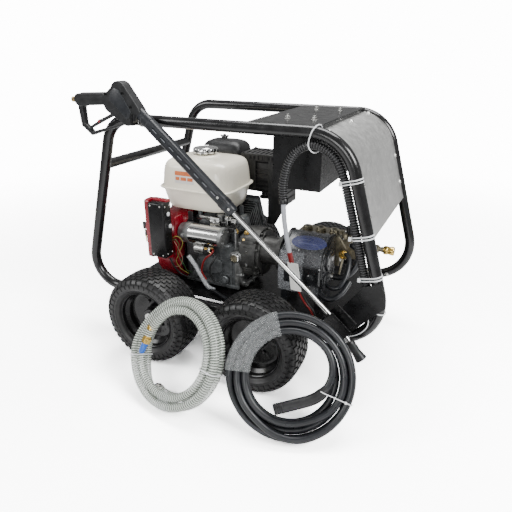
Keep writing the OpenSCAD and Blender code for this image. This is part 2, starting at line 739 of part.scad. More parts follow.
// Spur gear about the X axis; phase turns it by a fraction of one tooth
module spur_gear(teeth, bore, phase) {
    pitch_r = gear_module * teeth / 2;
    root = pitch_r - 1.25 * gear_module;
    tip = pitch_r + gear_module;
    half = 90 / teeth;                  // half of a tooth's angle on the pitch circle
    thin = 0.6;                         // taken off each flank's angle for backlash
    function polar(r, a) = [r * cos(a), r * sin(a)];
    outline = [for (i = [0:teeth - 1]) let (m = 360 * (i + phase) / teeth)
        each [polar(root, m - 1.35 * half), polar(pitch_r, m - half + thin * 10 / teeth),
              polar(tip, m - 0.45 * half), polar(tip, m + 0.45 * half),
              polar(pitch_r, m + half - thin * 10 / teeth), polar(root, m + 1.35 * half)]];
    rotate([90, 0, 90]) linear_extrude(gear_w) difference() {
        polygon(outline);
        circle(bore, $fn = 48);
    }
}

// The line of centres leaves the pinion at this angle in the gears' own plane
mesh_angle = atan2(pump_z - crank_z, pump_y - crank_y);
module drive_pinion() {
    color([0.5, 0.5, 0.52]) translate([gear_x0, crank_y, crank_z]) rotate([mesh_angle, 0, 0])
        spur_gear(pinion_teeth, 10, 0);
}

module driven_gear() {
    color([0.5, 0.5, 0.52]) translate([gear_x0, pump_y, pump_z]) rotate([mesh_angle + 180, 0, 0])
        spur_gear(gear_teeth, 12, 0.5);
}

// Pump crankshaft with three eccentrics
module pump_shaft() {
    throw = 6;
    color([0.5, 0.5, 0.5]) union() {
        cyl_x(gear_x0, pump_x1 - 12, pump_y, pump_z, pump_journal_r);
        for (i = [0:2]) translate([plunger_xs[i] - 9, pump_y, pump_z]) rotate([i * 120, 0, 0])
            cyl_x(0, 11, 0, throw, 21);
    }
}

// Pump crankcase with its sloping cover face
module pump_case() {
    color([0.13, 0.14, 0.15]) difference() {
        union() {
            translate([pump_x0, 0, 0]) rotate([90, 0, 90]) linear_extrude(pump_x1 - pump_x0)
                polygon([[-146, 262], [-150, 300], [-148, 330], [-136, 364], [-126, 372], [-62, 403],
                         [-44, 405], [head_y0, 400], [head_y0, 262]]);
            for (x = [pump_x0 + 6, pump_x1 - 26]) block([x, -140, deck_top], [x + 20, -30, 264]);
        }
        cyl_x(pump_x0 + 10, pump_x1 - 10, pump_y, pump_z, 32);
        cyl_x(pump_x0 - 1, pump_x0 + 11, pump_y, pump_z, pump_journal_r + bearing_gap);
        cyl_x(pump_x1 - 11, pump_x1 + 1, pump_y, pump_z, 16);
        for (x = plunger_xs) cyl_y(pump_y, head_y0 + 1, x, pump_z, 9.1);
    }
}

// Brass manifold with three valve caps on top and three at the back
module pump_head() {
    color([0.72, 0.55, 0.25]) difference() {
        union() {
            block([172, head_y0, head_z0], [318, head_y1, head_z1]);
            for (x = plunger_xs) {
                cyl_z(head_z1 - eps, head_z1 + 6, x, 2, 17);
                translate([x, 2, head_z1 + 6 - eps]) cylinder(h = 9, r = 13, $fn = 6);
                cyl_y(head_y1 - eps, head_y1 + 5, x, 318, 17);
                translate([x, head_y1 + 5 - eps, 318]) rotate([-90, 0, 0]) cylinder(h = 9, r = 13, $fn = 6);
            }
        }
        for (x = plunger_xs) cyl_y(head_y0 - 1, 22, x, pump_z, 9.1);
    }
}

module plungers() {
    color([0.9, 0.88, 0.8]) for (x = plunger_xs) cyl_y(-56, 12, x, pump_z, 9.05);
}

// Unloader valve with its outlet nipple and the inlet plug beside it
module unloader_valve() {
    color([0.72, 0.55, 0.25]) union() {
        block([318, -12, 322], [372, 34, 392]);
        cyl_x(372 - eps, 446, outlet_y, outlet_z, 8);
        translate([384, outlet_y, outlet_z]) rotate([0, 90, 0]) cylinder(h = 14, r = 13, $fn = 6);
        translate([424, outlet_y, outlet_z]) rotate([0, 90, 0]) cylinder(h = 14, r = 14, $fn = 6);
        cyl_y(-30, -12 + eps, 335, 340, 15);
        translate([335, -40, 340]) rotate([-90, 0, 0]) cylinder(h = 10 + eps, r = 12, $fn = 6);
        cyl_x(446 - eps, 478, outlet_y, outlet_z, 9);
        cyl_z(392 - eps, 400, 345, 10, 11);
    }
}

module unloader_knob() {
    color([0.05, 0.05, 0.05]) difference() {
        cyl_z(400.3, 424, 345, 10, 17);
        for (i = [0:9]) translate([345, 10, 0]) rotate(i * 36) cyl_z(404, 430, 19, 0, 4);
    }
}

// Sliding collar of the outlet's quick coupling
module coupler_sleeve() {
    color([0.72, 0.55, 0.25]) translate([0, outlet_y, outlet_z]) turned_x()
        polygon([[9.06, 453], [9.06, 486], [13, 486], [14, 484], [14, 474], [12.5, 472], [12.5, 466], [14, 464],
                 [14, 455], [13, 453]]);
}

module bypass_hose() {
    color([0.06, 0.06, 0.06]) sweep(smooth_route(bypass_route, 2), bypass_d / 2, [0.2, 1, 0.1], 10);
}

module starter_cable() {
    color([0.6, 0.6, 0.62]) sweep(smooth_route(cable_route, 2), cable_d / 2, [0, 1, 0.3], 8);
}

// Corrugated conduit, tied along the near hoop
module conduit() {
    route = smooth_route([for (p = conduit_route) [p[0], -hoop_y, p[1]]], 2);
    color([0.04, 0.04, 0.04]) sweep(route, conduit_d / 2, [0, 1, 0], 10);
}

// ---------------------------------------------------------------- gun and lance

gun_t = 34;
pin_r = 2.5;
trigger_pivot = [-306, 779];
// Flat rounded link between two points of the gun's side view, w wide and t thick
module link(a, b, ra, rb, t) {
    translate([0, -lance_y + t / 2, 0]) upright() hull() {
        translate(a) cylinder(h = t, r = ra, $fn = hull_fn);
        translate(b) cylinder(h = t, r = rb, $fn = hull_fn);
    }
}

// Gun: handle, valve housing and hand guard, with the inlet's brass thread; a slot takes the trigger
module gun_body() {
    handle_back = [-438, 812];
    handle_front = [-330, 818];
    color([0.06, 0.06, 0.07]) difference() {
        union() {
            link(handle_back, handle_front, 18, 17, gun_t - 2);
            link([-284, 842], [-236, 782], 27, 24, gun_t);
            link([-322, 812], [-284, 835], 24, 28, gun_t);
            link([-322, 800], [-262, 762], 20, 18, gun_t - 2);
            link([-441, 800], [-438, 738], 9, 7, 20);
            link([-438, 738], [-408, 713], 7, 6, 18);
            translate([0, -lance_y + 7, 0]) upright() linear_extrude(14)
                polygon([[-408, 719], [-290, 750], [-262, 762], [-262, 752], [-300, 740], [-406, 708]]);
            cyl_x(-458, -440, -lance_y, 811, 11);
            cyl_x(-476, -457, -lance_y, 811, 8);
        }
        block([-352, -lance_y - 7.5, 752], [-299, -lance_y + 7.5, 789]);
        on_lance() cyl_x(0, 13, 0, 0, 15.02);
        on_lance() block([11.95, -gun_t, -grip_a], [60, gun_t, grip_a]);
    }
    color([0.6, 0.6, 0.6]) cyl_y(-lance_y - 7.6, -lance_y + 7.6, trigger_pivot[0], trigger_pivot[1], pin_r);
}

module trigger() {
    color([0.07, 0.07, 0.08]) difference() {
        link(trigger_pivot, [-412, 733], 5.5, 4.5, 14);
        cyl_y(-lance_y - 8, -lance_y + 8, trigger_pivot[0], trigger_pivot[1], pin_r + bearing_gap);
    }
}

// Places a shape drawn along +X from the grip's upper end onto the lance's axis
module on_lance() { translate(grip_start) rotate([0, lance_tilt, 0]) children(); }

// Slotted insulating sleeve
module grip() {
    color([0.1, 0.11, 0.13]) on_lance() difference() {
        union() {
            block([12, -grip_b / 2, -grip_a / 2], [grip_l, grip_b / 2, grip_a / 2]);
            cyl_x(0, 12 + eps, 0, 0, 15);
        }
        for (i = [0:7]) block([62 + i * 38, -grip_b / 2 - 1, -2], [86 + i * 38, -grip_b / 2 + 7, 5]);
        for (i = [0:7]) block([62 + i * 38, grip_b / 2 - 7, -2], [86 + i * 38, grip_b / 2 + 1, 5]);
        cyl_x(grip_l - 60, grip_l + 1, 0, 0, lance_d / 2);
    }
}

// Places a shape drawn along +X from the end of the lance's bend
module on_tip() {
    on_lance() translate([tube_end + weld_gap, 0, -tip_bend_r]) rotate([0, tip_bend, 0])
        translate([weld_gap, 0, tip_bend_r]) children();
}

module lance_tube() {
    r = lance_d / 2;
    color([0.75, 0.75, 0.75]) {
        on_lance() cyl_x(grip_l - 59.9, tube_end, 0, 0, r);
        on_lance() translate([tube_end + weld_gap, 0, -tip_bend_r]) rotate([90, 0, 0])
            rotate([0, 0, 90 - tip_bend]) rotate_extrude(angle = tip_bend, $fn = 96)
                translate([tip_bend_r, 0]) circle(r);
        on_tip() cyl_x(0, tip_l, 0, 0, r);
    }
}

// Trumpet-shaped guard over the nozzle
module nozzle_guard() {
    color([0.05, 0.05, 0.05]) on_tip() turned_x()
        polygon([[0, tip_l + 0.1], [13, tip_l + 0.1], [14, tip_l + 6], [13, tip_l + 36], [17, tip_l + 62],
                 [13, tip_l + 62], [9, tip_l + 44], [0, tip_l + 44]]);
}

// ---------------------------------------------------------------- hoses

suction_floor = [-17, -557];
suction_lean = 28;
suction_turn = -12;
suction_rows = 2;
delivery_floor = [352, -533];
delivery_lean = 30;
delivery_turn = 19.5;
delivery_columns = 3;

// Coil of hose that stands on the floor and leans on the tyres: the closed solid that its turns fill
module coil(floor_point, lean, turn, outer_r, radial, axial) {
    translate([floor_point[0], floor_point[1], 0]) rotate([90 - lean, 0, turn])
        translate([0, outer_r, 0]) rotate_extrude($fn = 96)
            translate([outer_r - radial, 0]) square([radial, axial]);
}

module suction_coil() {
    color([0.7, 0.74, 0.72, 0.6])
        coil(suction_floor, suction_lean, suction_turn, suction_coil_r, 2 * suction_hose_d + 4,
             suction_rows * suction_hose_d + 1);
}

module delivery_coil() {
    color([0.06, 0.06, 0.07])
        coil(delivery_floor, delivery_lean, delivery_turn, delivery_coil_r,
             delivery_columns * delivery_hose_d + 1, 2 * delivery_hose_d + 1);
}

// ---------------------------------------------------------------- nodes

hoop_near();
hoop_far();
cross_tubes();
deck_plate();
top_plate();
end_cover();
frame_screws();
battery_box();
battery();
lance_rests();
axles();
tyre_left_near();
tyre_left_far();
tyre_right_near();
tyre_right_far();
rim_left_near();
rim_left_far();
rim_right_near();
rim_right_far();
axle_caps();
engine_block();
crank_cover();
cylinder_head();
piston();
crankshaft();
flywheel();
fan_cover();
recoil_cover();
recoil_handle();
fuel_tank();
fuel_cap();
air_cleaner();
wing_nut();
muffler();
muffler_guard();
starter_motor();
control_box();
ignition_key();
engine_mounts();
throttle_lever();
gear_case();
drive_pinion();
driven_gear();
pump_shaft();
pump_case();
pump_head();
plungers();
unloader_valve();
unloader_knob();
coupler_sleeve();
bypass_hose();
starter_cable();
conduit();
gun_body();
trigger();
grip();
lance_tube();
nozzle_guard();
suction_coil();
delivery_coil();
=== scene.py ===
import json
import random
from math import copysign, cos, dist, hypot, pi, radians, sin

import bpy
import bmesh
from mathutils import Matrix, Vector

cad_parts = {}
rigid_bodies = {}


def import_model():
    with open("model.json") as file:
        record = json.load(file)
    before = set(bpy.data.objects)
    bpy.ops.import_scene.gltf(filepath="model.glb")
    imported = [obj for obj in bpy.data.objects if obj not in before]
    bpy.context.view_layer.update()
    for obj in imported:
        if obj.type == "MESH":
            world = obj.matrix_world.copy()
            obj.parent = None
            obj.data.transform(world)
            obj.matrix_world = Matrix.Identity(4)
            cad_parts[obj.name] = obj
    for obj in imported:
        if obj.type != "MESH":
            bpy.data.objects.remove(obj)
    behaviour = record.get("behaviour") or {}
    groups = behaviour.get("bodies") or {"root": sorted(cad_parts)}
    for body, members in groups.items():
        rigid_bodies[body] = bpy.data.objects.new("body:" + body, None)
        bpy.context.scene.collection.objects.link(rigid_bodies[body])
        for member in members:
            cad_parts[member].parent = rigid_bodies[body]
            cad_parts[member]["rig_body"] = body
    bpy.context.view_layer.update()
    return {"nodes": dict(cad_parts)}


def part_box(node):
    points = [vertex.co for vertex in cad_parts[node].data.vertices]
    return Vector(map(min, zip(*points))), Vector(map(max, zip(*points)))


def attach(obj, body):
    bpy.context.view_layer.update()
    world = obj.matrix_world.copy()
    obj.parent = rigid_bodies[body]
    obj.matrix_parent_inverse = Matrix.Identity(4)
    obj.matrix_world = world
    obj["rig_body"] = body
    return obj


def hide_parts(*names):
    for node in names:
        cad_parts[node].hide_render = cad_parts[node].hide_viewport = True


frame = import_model()
nodes = frame["nodes"]
MM = 0.001
WELD = 0.00002  # metres; points nearer than this are one point
rnd = random.Random(7)


# ------------------------------------------------------------------ camera, floor and light

camera = bpy.data.cameras.new("camera")
camera.sensor_width = 36.0
camera.lens = 34.32
camera_object = bpy.data.objects.new("camera", camera)
camera_object.location = (0.7025, -1.465, 0.953)
camera_object.rotation_euler = (radians(90 - 23.02), 0, radians(25.39))
bpy.context.scene.collection.objects.link(camera_object)
bpy.context.scene.camera = camera_object


def area_light(name, location, target, size, power, color=(1, 1, 1)):
    light = bpy.data.lights.new(name, "AREA")
    light.shape = "RECTANGLE"
    light.size, light.size_y = size
    light.energy = power
    light.color = color
    o = bpy.data.objects.new(name, light)
    o.location = location
    o.rotation_euler = (Vector(target) - Vector(location)).to_track_quat("-Z", "Y").to_euler()
    bpy.context.scene.collection.objects.link(o)


area_light("key", (3.2, -1.0, 2.6), (0, 0, 0.35), (1.6, 1.6), 190)
area_light("fill", (-2.8, -2.4, 2.4), (0, 0, 0.4), (1.8, 1.6), 80)
area_light("top", (0.1, 0.5, 3.0), (0, 0, 0.3), (2.4, 1.4), 120)
area_light("front", (0.4, -3.6, 1.2), (0, 0, 0.35), (1.6, 1.2), 46)

def seen_or_lit(tree, lit, seen):
    """One value for the light that falls on the object, another for what the camera sees."""
    n = tree.nodes.new("ShaderNodeMapRange")
    tree.links.new(tree.nodes.new("ShaderNodeLightPath").outputs["Is Camera Ray"], n.inputs[0])
    n.inputs[3].default_value = lit
    n.inputs[4].default_value = seen
    return n.outputs[0]


# The room is white where it is seen and dim where it lights the scene, so that black paint stays black
world = bpy.data.worlds.new("studio")
world.use_nodes = True
tree = world.node_tree
background = tree.nodes["Background"]
background.inputs["Color"].default_value = (1.0, 1.0, 1.0, 1)
tree.links.new(seen_or_lit(tree, 0.42, 14.0), background.inputs["Strength"])
bpy.context.scene.world = world


def studio_floor(inner=0.9, outer=3.2):
    """A pale round floor that fades into the white room."""
    mesh = bpy.data.meshes.new("floor")
    bm = bmesh.new()
    bmesh.ops.create_circle(bm, cap_ends=True, segments=96, radius=outer + 0.1)
    bm.to_mesh(mesh)
    bm.free()
    material = bpy.data.materials.new("floor")
    material.use_nodes = True
    t = material.node_tree
    t.nodes.remove(t.nodes["Principled BSDF"])
    matt = t.nodes.new("ShaderNodeBsdfDiffuse")
    clear = t.nodes.new("ShaderNodeBsdfTransparent")
    blend = t.nodes.new("ShaderNodeMixShader")
    # Seen from the camera the floor is as bright as the white room; it lights the object as plain white paper
    t.links.new(seen_or_lit(t, 0.9, 4.2), matt.inputs["Color"])
    place = t.nodes.new("ShaderNodeTexCoord")
    distance = t.nodes.new("ShaderNodeVectorMath")
    distance.operation = "LENGTH"
    t.links.new(place.outputs["Object"], distance.inputs[0])
    fade = t.nodes.new("ShaderNodeMapRange")
    fade.interpolation_type = "SMOOTHSTEP"
    t.links.new(distance.outputs["Value"], fade.inputs[0])
    for i, v in enumerate((inner, outer, 1, 0)):
        fade.inputs[i + 1].default_value = v
    t.links.new(fade.outputs[0], blend.inputs[0])
    t.links.new(clear.outputs[0], blend.inputs[1])
    t.links.new(matt.outputs[0], blend.inputs[2])
    t.links.new(blend.outputs[0], t.nodes["Material Output"].inputs["Surface"])
    mesh.materials.append(material)
    floor = bpy.data.objects.new("floor", mesh)
    floor.location = (0, -0.1, -0.0006)
    bpy.context.scene.collection.objects.link(floor)


studio_floor()


# ------------------------------------------------------------------ materials

class Nodes:
    """A material's node tree, with short names for what this scene uses."""

    def __init__(self, name):
        self.material = bpy.data.materials.new(name)
        self.material.use_nodes = True
        self.tree = self.material.node_tree
        self.shader = self.tree.nodes["Principled BSDF"]
        self.object = self.tree.nodes.new("ShaderNodeTexCoord").outputs["Object"]

    def link(self, a, b):
        self.tree.links.new(a, b)

    def noise(self, scale, detail=3, stretch=(1, 1, 1), rough=0.55):
        mapping = self.tree.nodes.new("ShaderNodeMapping")
        mapping.inputs["Scale"].default_value = stretch
        self.link(self.object, mapping.inputs["Vector"])
        n = self.tree.nodes.new("ShaderNodeTexNoise")
        n.inputs["Scale"].default_value = scale
        n.inputs["Detail"].default_value = detail
        n.inputs["Roughness"].default_value = rough
        self.link(mapping.outputs["Vector"], n.inputs["Vector"])
        return n.outputs["Fac"]

    def ranged(self, value, a, b, c, d):
        n = self.tree.nodes.new("ShaderNodeMapRange")
        for i, v in enumerate((a, b, c, d)):
            n.inputs[i + 1].default_value = v
        self.link(value, n.inputs[0])
        return n.outputs[0]

    def math(self, op, a, b):
        n = self.tree.nodes.new("ShaderNodeMath")
        n.operation = op
        for i, v in enumerate((a, b)):
            if isinstance(v, (int, float)):
                n.inputs[i].default_value = v
            else:
                self.link(v, n.inputs[i])
        return n.outputs[0]

    def mix(self, factor, a, b):
        n = self.tree.nodes.new("ShaderNodeMix")
        n.data_type = "RGBA"
        if isinstance(factor, (int, float)):
            n.inputs[0].default_value = factor
        else:
            self.link(factor, n.inputs[0])
        for i, v in ((6, a), (7, b)):
            if isinstance(v, (tuple, list)):
                n.inputs[i].default_value = (*v[:3], 1)
            else:
                self.link(v, n.inputs[i])
        return n.outputs[2]

    def upward(self):
        n = self.tree.nodes.new("ShaderNodeNewGeometry")
        s = self.tree.nodes.new("ShaderNodeSeparateXYZ")
        self.link(n.outputs["Normal"], s.inputs[0])
        return s.outputs[2]

    def attribute(self, name):
        n = self.tree.nodes.new("ShaderNodeAttribute")
        n.attribute_name = name
        return n.outputs["Fac"]

    def bump(self, height, strength, distance):
        n = self.tree.nodes.new("ShaderNodeBump")
        n.inputs["Strength"].default_value = strength
        n.inputs["Distance"].default_value = distance
        self.link(height, n.inputs["Height"])
        self.link(n.outputs["Normal"], self.shader.inputs["Normal"])

    def set(self, **values):
        for k, v in values.items():
            self.shader.inputs[k.replace("_", " ")].default_value = v


def finish(name, color, rough, metal=0.0, spread=0.12, blotch=30, rough_spread=0.08, grain=600,
           grain_depth=0.0,
           grain_stretch=(1, 1, 1), coat=0.0, dust=0.0, dust_color=(0.30, 0.29, 0.27), specular=0.5,
           wear=0.0):
    """A surface with blotches of colour and gloss, fine grain, dust on upward faces and worn edges."""
    n = Nodes(name)
    big = n.noise(blotch, 4)
    dark = tuple(c * (1 - spread) for c in color)
    light = tuple(min(1, c * (1 + spread) + spread * 0.01) for c in color)
    col = n.mix(n.ranged(big, 0.35, 0.65, 0, 1), dark, light)
    fine = n.noise(grain, 2, grain_stretch)
    if wear:
        g = n.tree.nodes.new("ShaderNodeNewGeometry")
        edge = n.math("MULTIPLY", n.ranged(g.outputs["Pointiness"], 0.53, 0.6, 0, 1),
                      n.ranged(n.noise(120, 4), 0.45, 0.6, 0, wear))
        col = n.mix(edge, col, (0.35, 0.35, 0.34))
    if dust:
        cover = n.math("MULTIPLY", n.ranged(n.upward(), 0.2, 0.95, 0.15, 1),
                       n.ranged(n.noise(14, 6, rough=0.7), 0.38, 0.72, 0, dust))
        col = n.mix(cover, col, dust_color)
        gloss = n.math("ADD", n.ranged(n.noise(55, 4), 0.3, 0.7, rough - rough_spread, rough + rough_spread),
                       n.math("MULTIPLY", cover, 0.5))
    else:
        gloss = n.ranged(n.noise(55, 4), 0.3, 0.7, max(0.02, rough - rough_spread), rough + rough_spread)
    n.link(col, n.shader.inputs["Base Color"])
    n.link(gloss, n.shader.inputs["Roughness"])
    n.shader.inputs["Metallic"].default_value = metal
    n.shader.inputs["Specular IOR Level"].default_value = specular
    if coat:
        n.shader.inputs["Coat Weight"].default_value = coat
        n.shader.inputs["Coat Roughness"].default_value = 0.08
    if grain_depth:
        n.bump(fine, 1.0, grain_depth)
    return n.material


black_gloss = finish("black_gloss", (0.0045, 0.0045, 0.005), 0.2, spread=0.3, grain=260, grain_depth=0.00012,
                     coat=0.15, dust=0.02, specular=0.42)
black_satin = finish("black_satin", (0.003, 0.003, 0.0034), 0.3, spread=0.3, grain=500, grain_depth=0.0001,
                     dust=0.02, specular=0.26)
deck_black = finish("deck_black", (0.0025, 0.0025, 0.0028), 0.3, spread=0.35, grain=380, grain_depth=0.0001,
                    dust=0.01, specular=0.24)
stainless = finish("stainless", (0.86, 0.86, 0.84), 0.36, metal=1.0, spread=0.06, blotch=9, rough_spread=0.06,
                   grain=900, grain_stretch=(1, 0.02, 1), grain_depth=0.00004)
zinc = finish("zinc", (0.55, 0.55, 0.53), 0.3, metal=1.0, spread=0.1)
steel = finish("steel", (0.48, 0.48, 0.47), 0.16, metal=1.0, spread=0.06, rough_spread=0.05)
chrome = finish("chrome", (0.75, 0.75, 0.74), 0.12, metal=1.0, spread=0.06, rough_spread=0.05)
brass = finish("brass", (0.52, 0.36, 0.13), 0.32, metal=1.0, spread=0.22, blotch=60, grain=700,
               grain_depth=0.00005)
dull_brass = finish("dull_brass", (0.23, 0.205, 0.145), 0.4, metal=0.85, spread=0.35, blotch=70, grain=300,
                    grain_depth=0.0002, dust=0.2)
rubber = finish("rubber", (0.0048, 0.0048, 0.0052), 0.4, spread=0.3, blotch=50, grain=900, grain_depth=0.0001,
                dust=0.06, dust_color=(0.09, 0.088, 0.084), specular=0.5)
rim_black = finish("rim_black", (0.005, 0.005, 0.0055), 0.18, spread=0.3, grain=420, grain_depth=0.00008,
                   dust=0.03,
                   specular=0.4)
cast_grey = finish("cast_grey", (0.12, 0.128, 0.132), 0.38, metal=0.6, spread=0.3, blotch=45, grain=420,
                   grain_depth=0.0003, dust=0.12)
cast_light = finish("cast_light", (0.22, 0.225, 0.222), 0.38, metal=0.75, spread=0.22, blotch=45, grain=420,
                    grain_depth=0.0003, dust=0.08)
gear_grey = finish("gear_grey", (0.042, 0.042, 0.04), 0.42, metal=0.5, spread=0.35, blotch=40, grain=350,
                   grain_depth=0.0003, dust=0.1)
pump_black = finish("pump_black", (0.011, 0.012, 0.014), 0.28, spread=0.3, blotch=40, grain=300,
                    grain_depth=0.0002,
                    coat=0.2, dust=0.05)
red = finish("red", (0.21, 0.0015, 0.010), 0.25, spread=0.12, blotch=25, grain=250, grain_depth=0.00008,
             coat=0.25)
cream = finish("cream", (0.93, 0.88, 0.74), 0.2, spread=0.03, blotch=12, grain=200, grain_depth=0.00006,
               coat=0.5,
               dust=0.06, dust_color=(0.5, 0.46, 0.38))
plastic = finish("plastic", (0.008, 0.0083, 0.0092), 0.4, spread=0.25, blotch=60, grain=1400,
                 grain_depth=0.00012,
                 dust=0.02, specular=0.4)
grip_plastic = finish("grip_plastic", (0.010, 0.0115, 0.0145), 0.36, spread=0.15, blotch=60, grain=1300,
                      grain_depth=0.00012, specular=0.42)
exhaust = finish("exhaust", (0.008, 0.008, 0.0085), 0.45, spread=0.4, blotch=40, grain=500,
                 grain_depth=0.0002,
                 dust=0.08, specular=0.4)
ceramic = finish("ceramic", (0.8, 0.78, 0.7), 0.15, spread=0.02)
hose_black = finish("hose_black", (0.0075, 0.0085, 0.0105), 0.33, spread=0.2, blotch=35, grain=800,
                    grain_depth=0.00008, dust=0.03, dust_color=(0.10, 0.105, 0.11), specular=0.42)
wire_red = finish("wire_red", (0.17, 0.006, 0.006), 0.35)
wire_yellow = finish("wire_yellow", (0.28, 0.25, 0.05), 0.4)
wire_black = finish("wire_black", (0.012, 0.012, 0.012), 0.4)
wire_grey = finish("wire_grey", (0.32, 0.33, 0.36), 0.35)
white_tie = finish("white_tie", (0.72, 0.73, 0.74), 0.3, spread=0.04)
blue_label = finish("blue_label", (0.035, 0.045, 0.19), 0.35, spread=0.2, blotch=18)
paper = finish("paper", (0.9, 0.9, 0.87), 0.6, spread=0.06)
gold = finish("gold", (0.66, 0.45, 0.12), 0.22, metal=1.0, spread=0.1)


def clear_hose(name, base, alpha):
    """Clear hose with a pale spiral, darker and denser where its wall is seen edge on."""
    n = Nodes(name)
    rib = n.attribute("rib")
    facing = n.tree.nodes.new("ShaderNodeLayerWeight")
    facing.inputs["Blend"].default_value = 0.4
    edge = n.ranged(facing.outputs["Facing"], 0.35, 0.95, 0, 1)
    wall = n.mix(edge, base, tuple(c * 0.4 for c in base))
    n.link(n.mix(n.ranged(rib, 0.55, 0.9, 0, 1), wall, (0.62, 0.66, 0.60)), n.shader.inputs["Base Color"])
    n.link(n.math("MAXIMUM", n.ranged(rib, 0.55, 0.9, alpha, 0.92), n.ranged(edge, 0.2, 1, alpha, 0.85)),
           n.shader.inputs["Alpha"])
    n.link(n.ranged(n.noise(40, 3), 0.3, 0.7, 0.08, 0.2), n.shader.inputs["Roughness"])
    n.set(Specular_IOR_Level=0.6)
    return n.material


def film(name, color, alpha, depth):
    """Crumpled clear wrapping film."""
    n = Nodes(name)
    crease = n.noise(150, 6, (1, 1, 2.5), rough=0.75)
    n.shader.inputs["Base Color"].default_value = (*color, 1)
    n.link(n.ranged(n.noise(170, 6, (1, 1, 2.5), rough=0.8), 0.4, 0.66, alpha * 0.3, min(1, alpha * 2)),
           n.shader.inputs["Alpha"])
    n.set(Roughness=0.14, Specular_IOR_Level=0.8)
    n.bump(crease, 1.0, depth)
    return n.material


hose_clear = clear_hose("hose_clear", (0.17, 0.19, 0.165), 0.6)
wrap_film = film("wrap_film", (0.62, 0.65, 0.65), 0.17, 0.002)
pump_film = film("pump_film", (0.5, 0.52, 0.55), 0.34, 0.003)


# ------------------------------------------------------------------ mesh building, in millimetres

def basis(axis):
    w = Vector(axis).normalized()
    u = w.orthogonal().normalized()
    return u, w.cross(u), w


RIGHT, LEFT, NEAR, UP = (1, 0, 0), (-1, 0, 0), (0, -1, 0), (0, 0, 1)


class Build:
    """Collects shapes into one mesh."""

    def __init__(self):
        self.v, self.f, self.rib = [], [], []

    def add(self, verts, faces):
        k = len(self.v)
        self.v += [tuple(p) for p in verts]
        self.f += [tuple(i + k for i in f) for f in faces]

    def rings(self, rings, closed=False, caps=(True, True)):
        n, count = len(rings[0]), len(rings)
        faces = []
        for i in range(count if closed else count - 1):
            a, b = i * n, (i + 1) % count * n
            faces += [(a + k, a + (k + 1) % n, b + (k + 1) % n, b + k) for k in range(n)]
        if not closed and caps[0]:
            faces.append(tuple(range(n - 1, -1, -1)))
        if not closed and caps[1]:
            faces.append(tuple(range((count - 1) * n, count * n)))
        self.add([p for r in rings for p in r], faces)

    def lathe(self, profile, origin, axis, n=40, closed=False, caps=(True, True), phase=0.0):
        """Turns a profile of (radius, distance along the axis)."""
        u, v, w = basis(axis)
        o = Vector(origin)
        angles = [2 * pi * k / n + phase for k in range(n)]
        self.rings([[o + w * h + (u * cos(t) + v * sin(t)) * r for t in angles] for r, h in profile],
                   closed, caps)

    def bolt(self, at, axis, r=6.0, h=5.0, phase=0.0):
        self.lathe([(r * 1.45, 0), (r * 1.5, 0.4), (r * 1.45, 1.2)], at, axis, 20)
        self.lathe([(r, 1.1), (r, h), (r * 0.86, h + 0.9)], at, axis, 6, phase=phase)

    def dome(self, at, axis, r, h):
        self.lathe([(r, 0), (r * 0.97, h * 0.35), (r * 0.8, h * 0.72), (r * 0.45, h * 0.95), (r * 0.1, h)],
                   at, axis, 20)

    def box(self, lo, hi, r=1.0):
        """Box with chamfered edges."""
        (x0, y0, z0), (x1, y1, z1) = lo, hi
        rings = []
        for z, inset in ((z0, r), (z0 + r, 0), (z1 - r, 0), (z1, r)):
            rings.append(rounded(x0 + inset, x1 - inset, y0 + inset, y1 - inset, z, max(0.2, r), 1))
        self.rings(rings)

    def tube(self, path, r, sides=12, caps=(True, True)):
        points = [Vector(p) for p in path]
        self.rings(sweep(points, [r] * len(points), sides), caps=caps)

    def sheet(self, rows):
        """Joins rows of points into an open sheet."""
        n = len(rows[0])
        faces = [(j * n + i, j * n + i + 1, (j + 1) * n + i + 1, (j + 1) * n + i)
                 for j in range(len(rows) - 1) for i in range(n - 1)]
        self.add([p for row in rows for p in row], faces)

    def mesh(self, name):
        mesh = bpy.data.meshes.new(name)
        mesh.from_pydata([(x * MM, y * MM, z * MM) for x, y, z in self.v], [], self.f)
        return rework(mesh, outward=True)

    def piece(self, name, material, body="root", replaces=(), bevel=0.0, angle=32, slot=None):
        mesh = self.mesh(name)
        if self.rib:
            a = mesh.attributes.new("rib", "FLOAT", "POINT")
            a.data.foreach_set("value", self.rib)
        return place(mesh, name, material, body, replaces, bevel, angle, slot)


def rework(mesh, weld=False, flatten=0, also=None, outward=False):
    """Changes a mesh in place: adds another, welds, merges flat faces, turns faces outwards."""
    bm = bmesh.new()
    bm.from_mesh(mesh)
    if also:
        bm.from_mesh(also)
    if weld:
        bmesh.ops.remove_doubles(bm, verts=bm.verts, dist=WELD)
    if flatten:
        bmesh.ops.dissolve_limit(bm, angle_limit=radians(flatten), verts=bm.verts, edges=bm.edges)
    if outward:
        bmesh.ops.recalc_face_normals(bm, faces=bm.faces)
    bm.to_mesh(mesh)
    bm.free()
    return mesh


def place(mesh, name, material, body, replaces=(), bevel=0.0, angle=32, slot=None):
    mesh.materials.clear()
    mesh.materials.append(material)
    mesh.shade_smooth()
    mesh.set_sharp_from_angle(angle=radians(angle))
    o = bpy.data.objects.new(name, mesh)
    bpy.context.scene.collection.objects.link(o)
    if bevel:
        b = o.modifiers.new("bevel", "BEVEL")
        b.width = bevel * MM
        b.segments = 2
        b.limit_method = "ANGLE"
        b.angle_limit = radians(33)
        b.harden_normals = True
    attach(o, body)
    if replaces:
        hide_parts(*replaces)
    return o


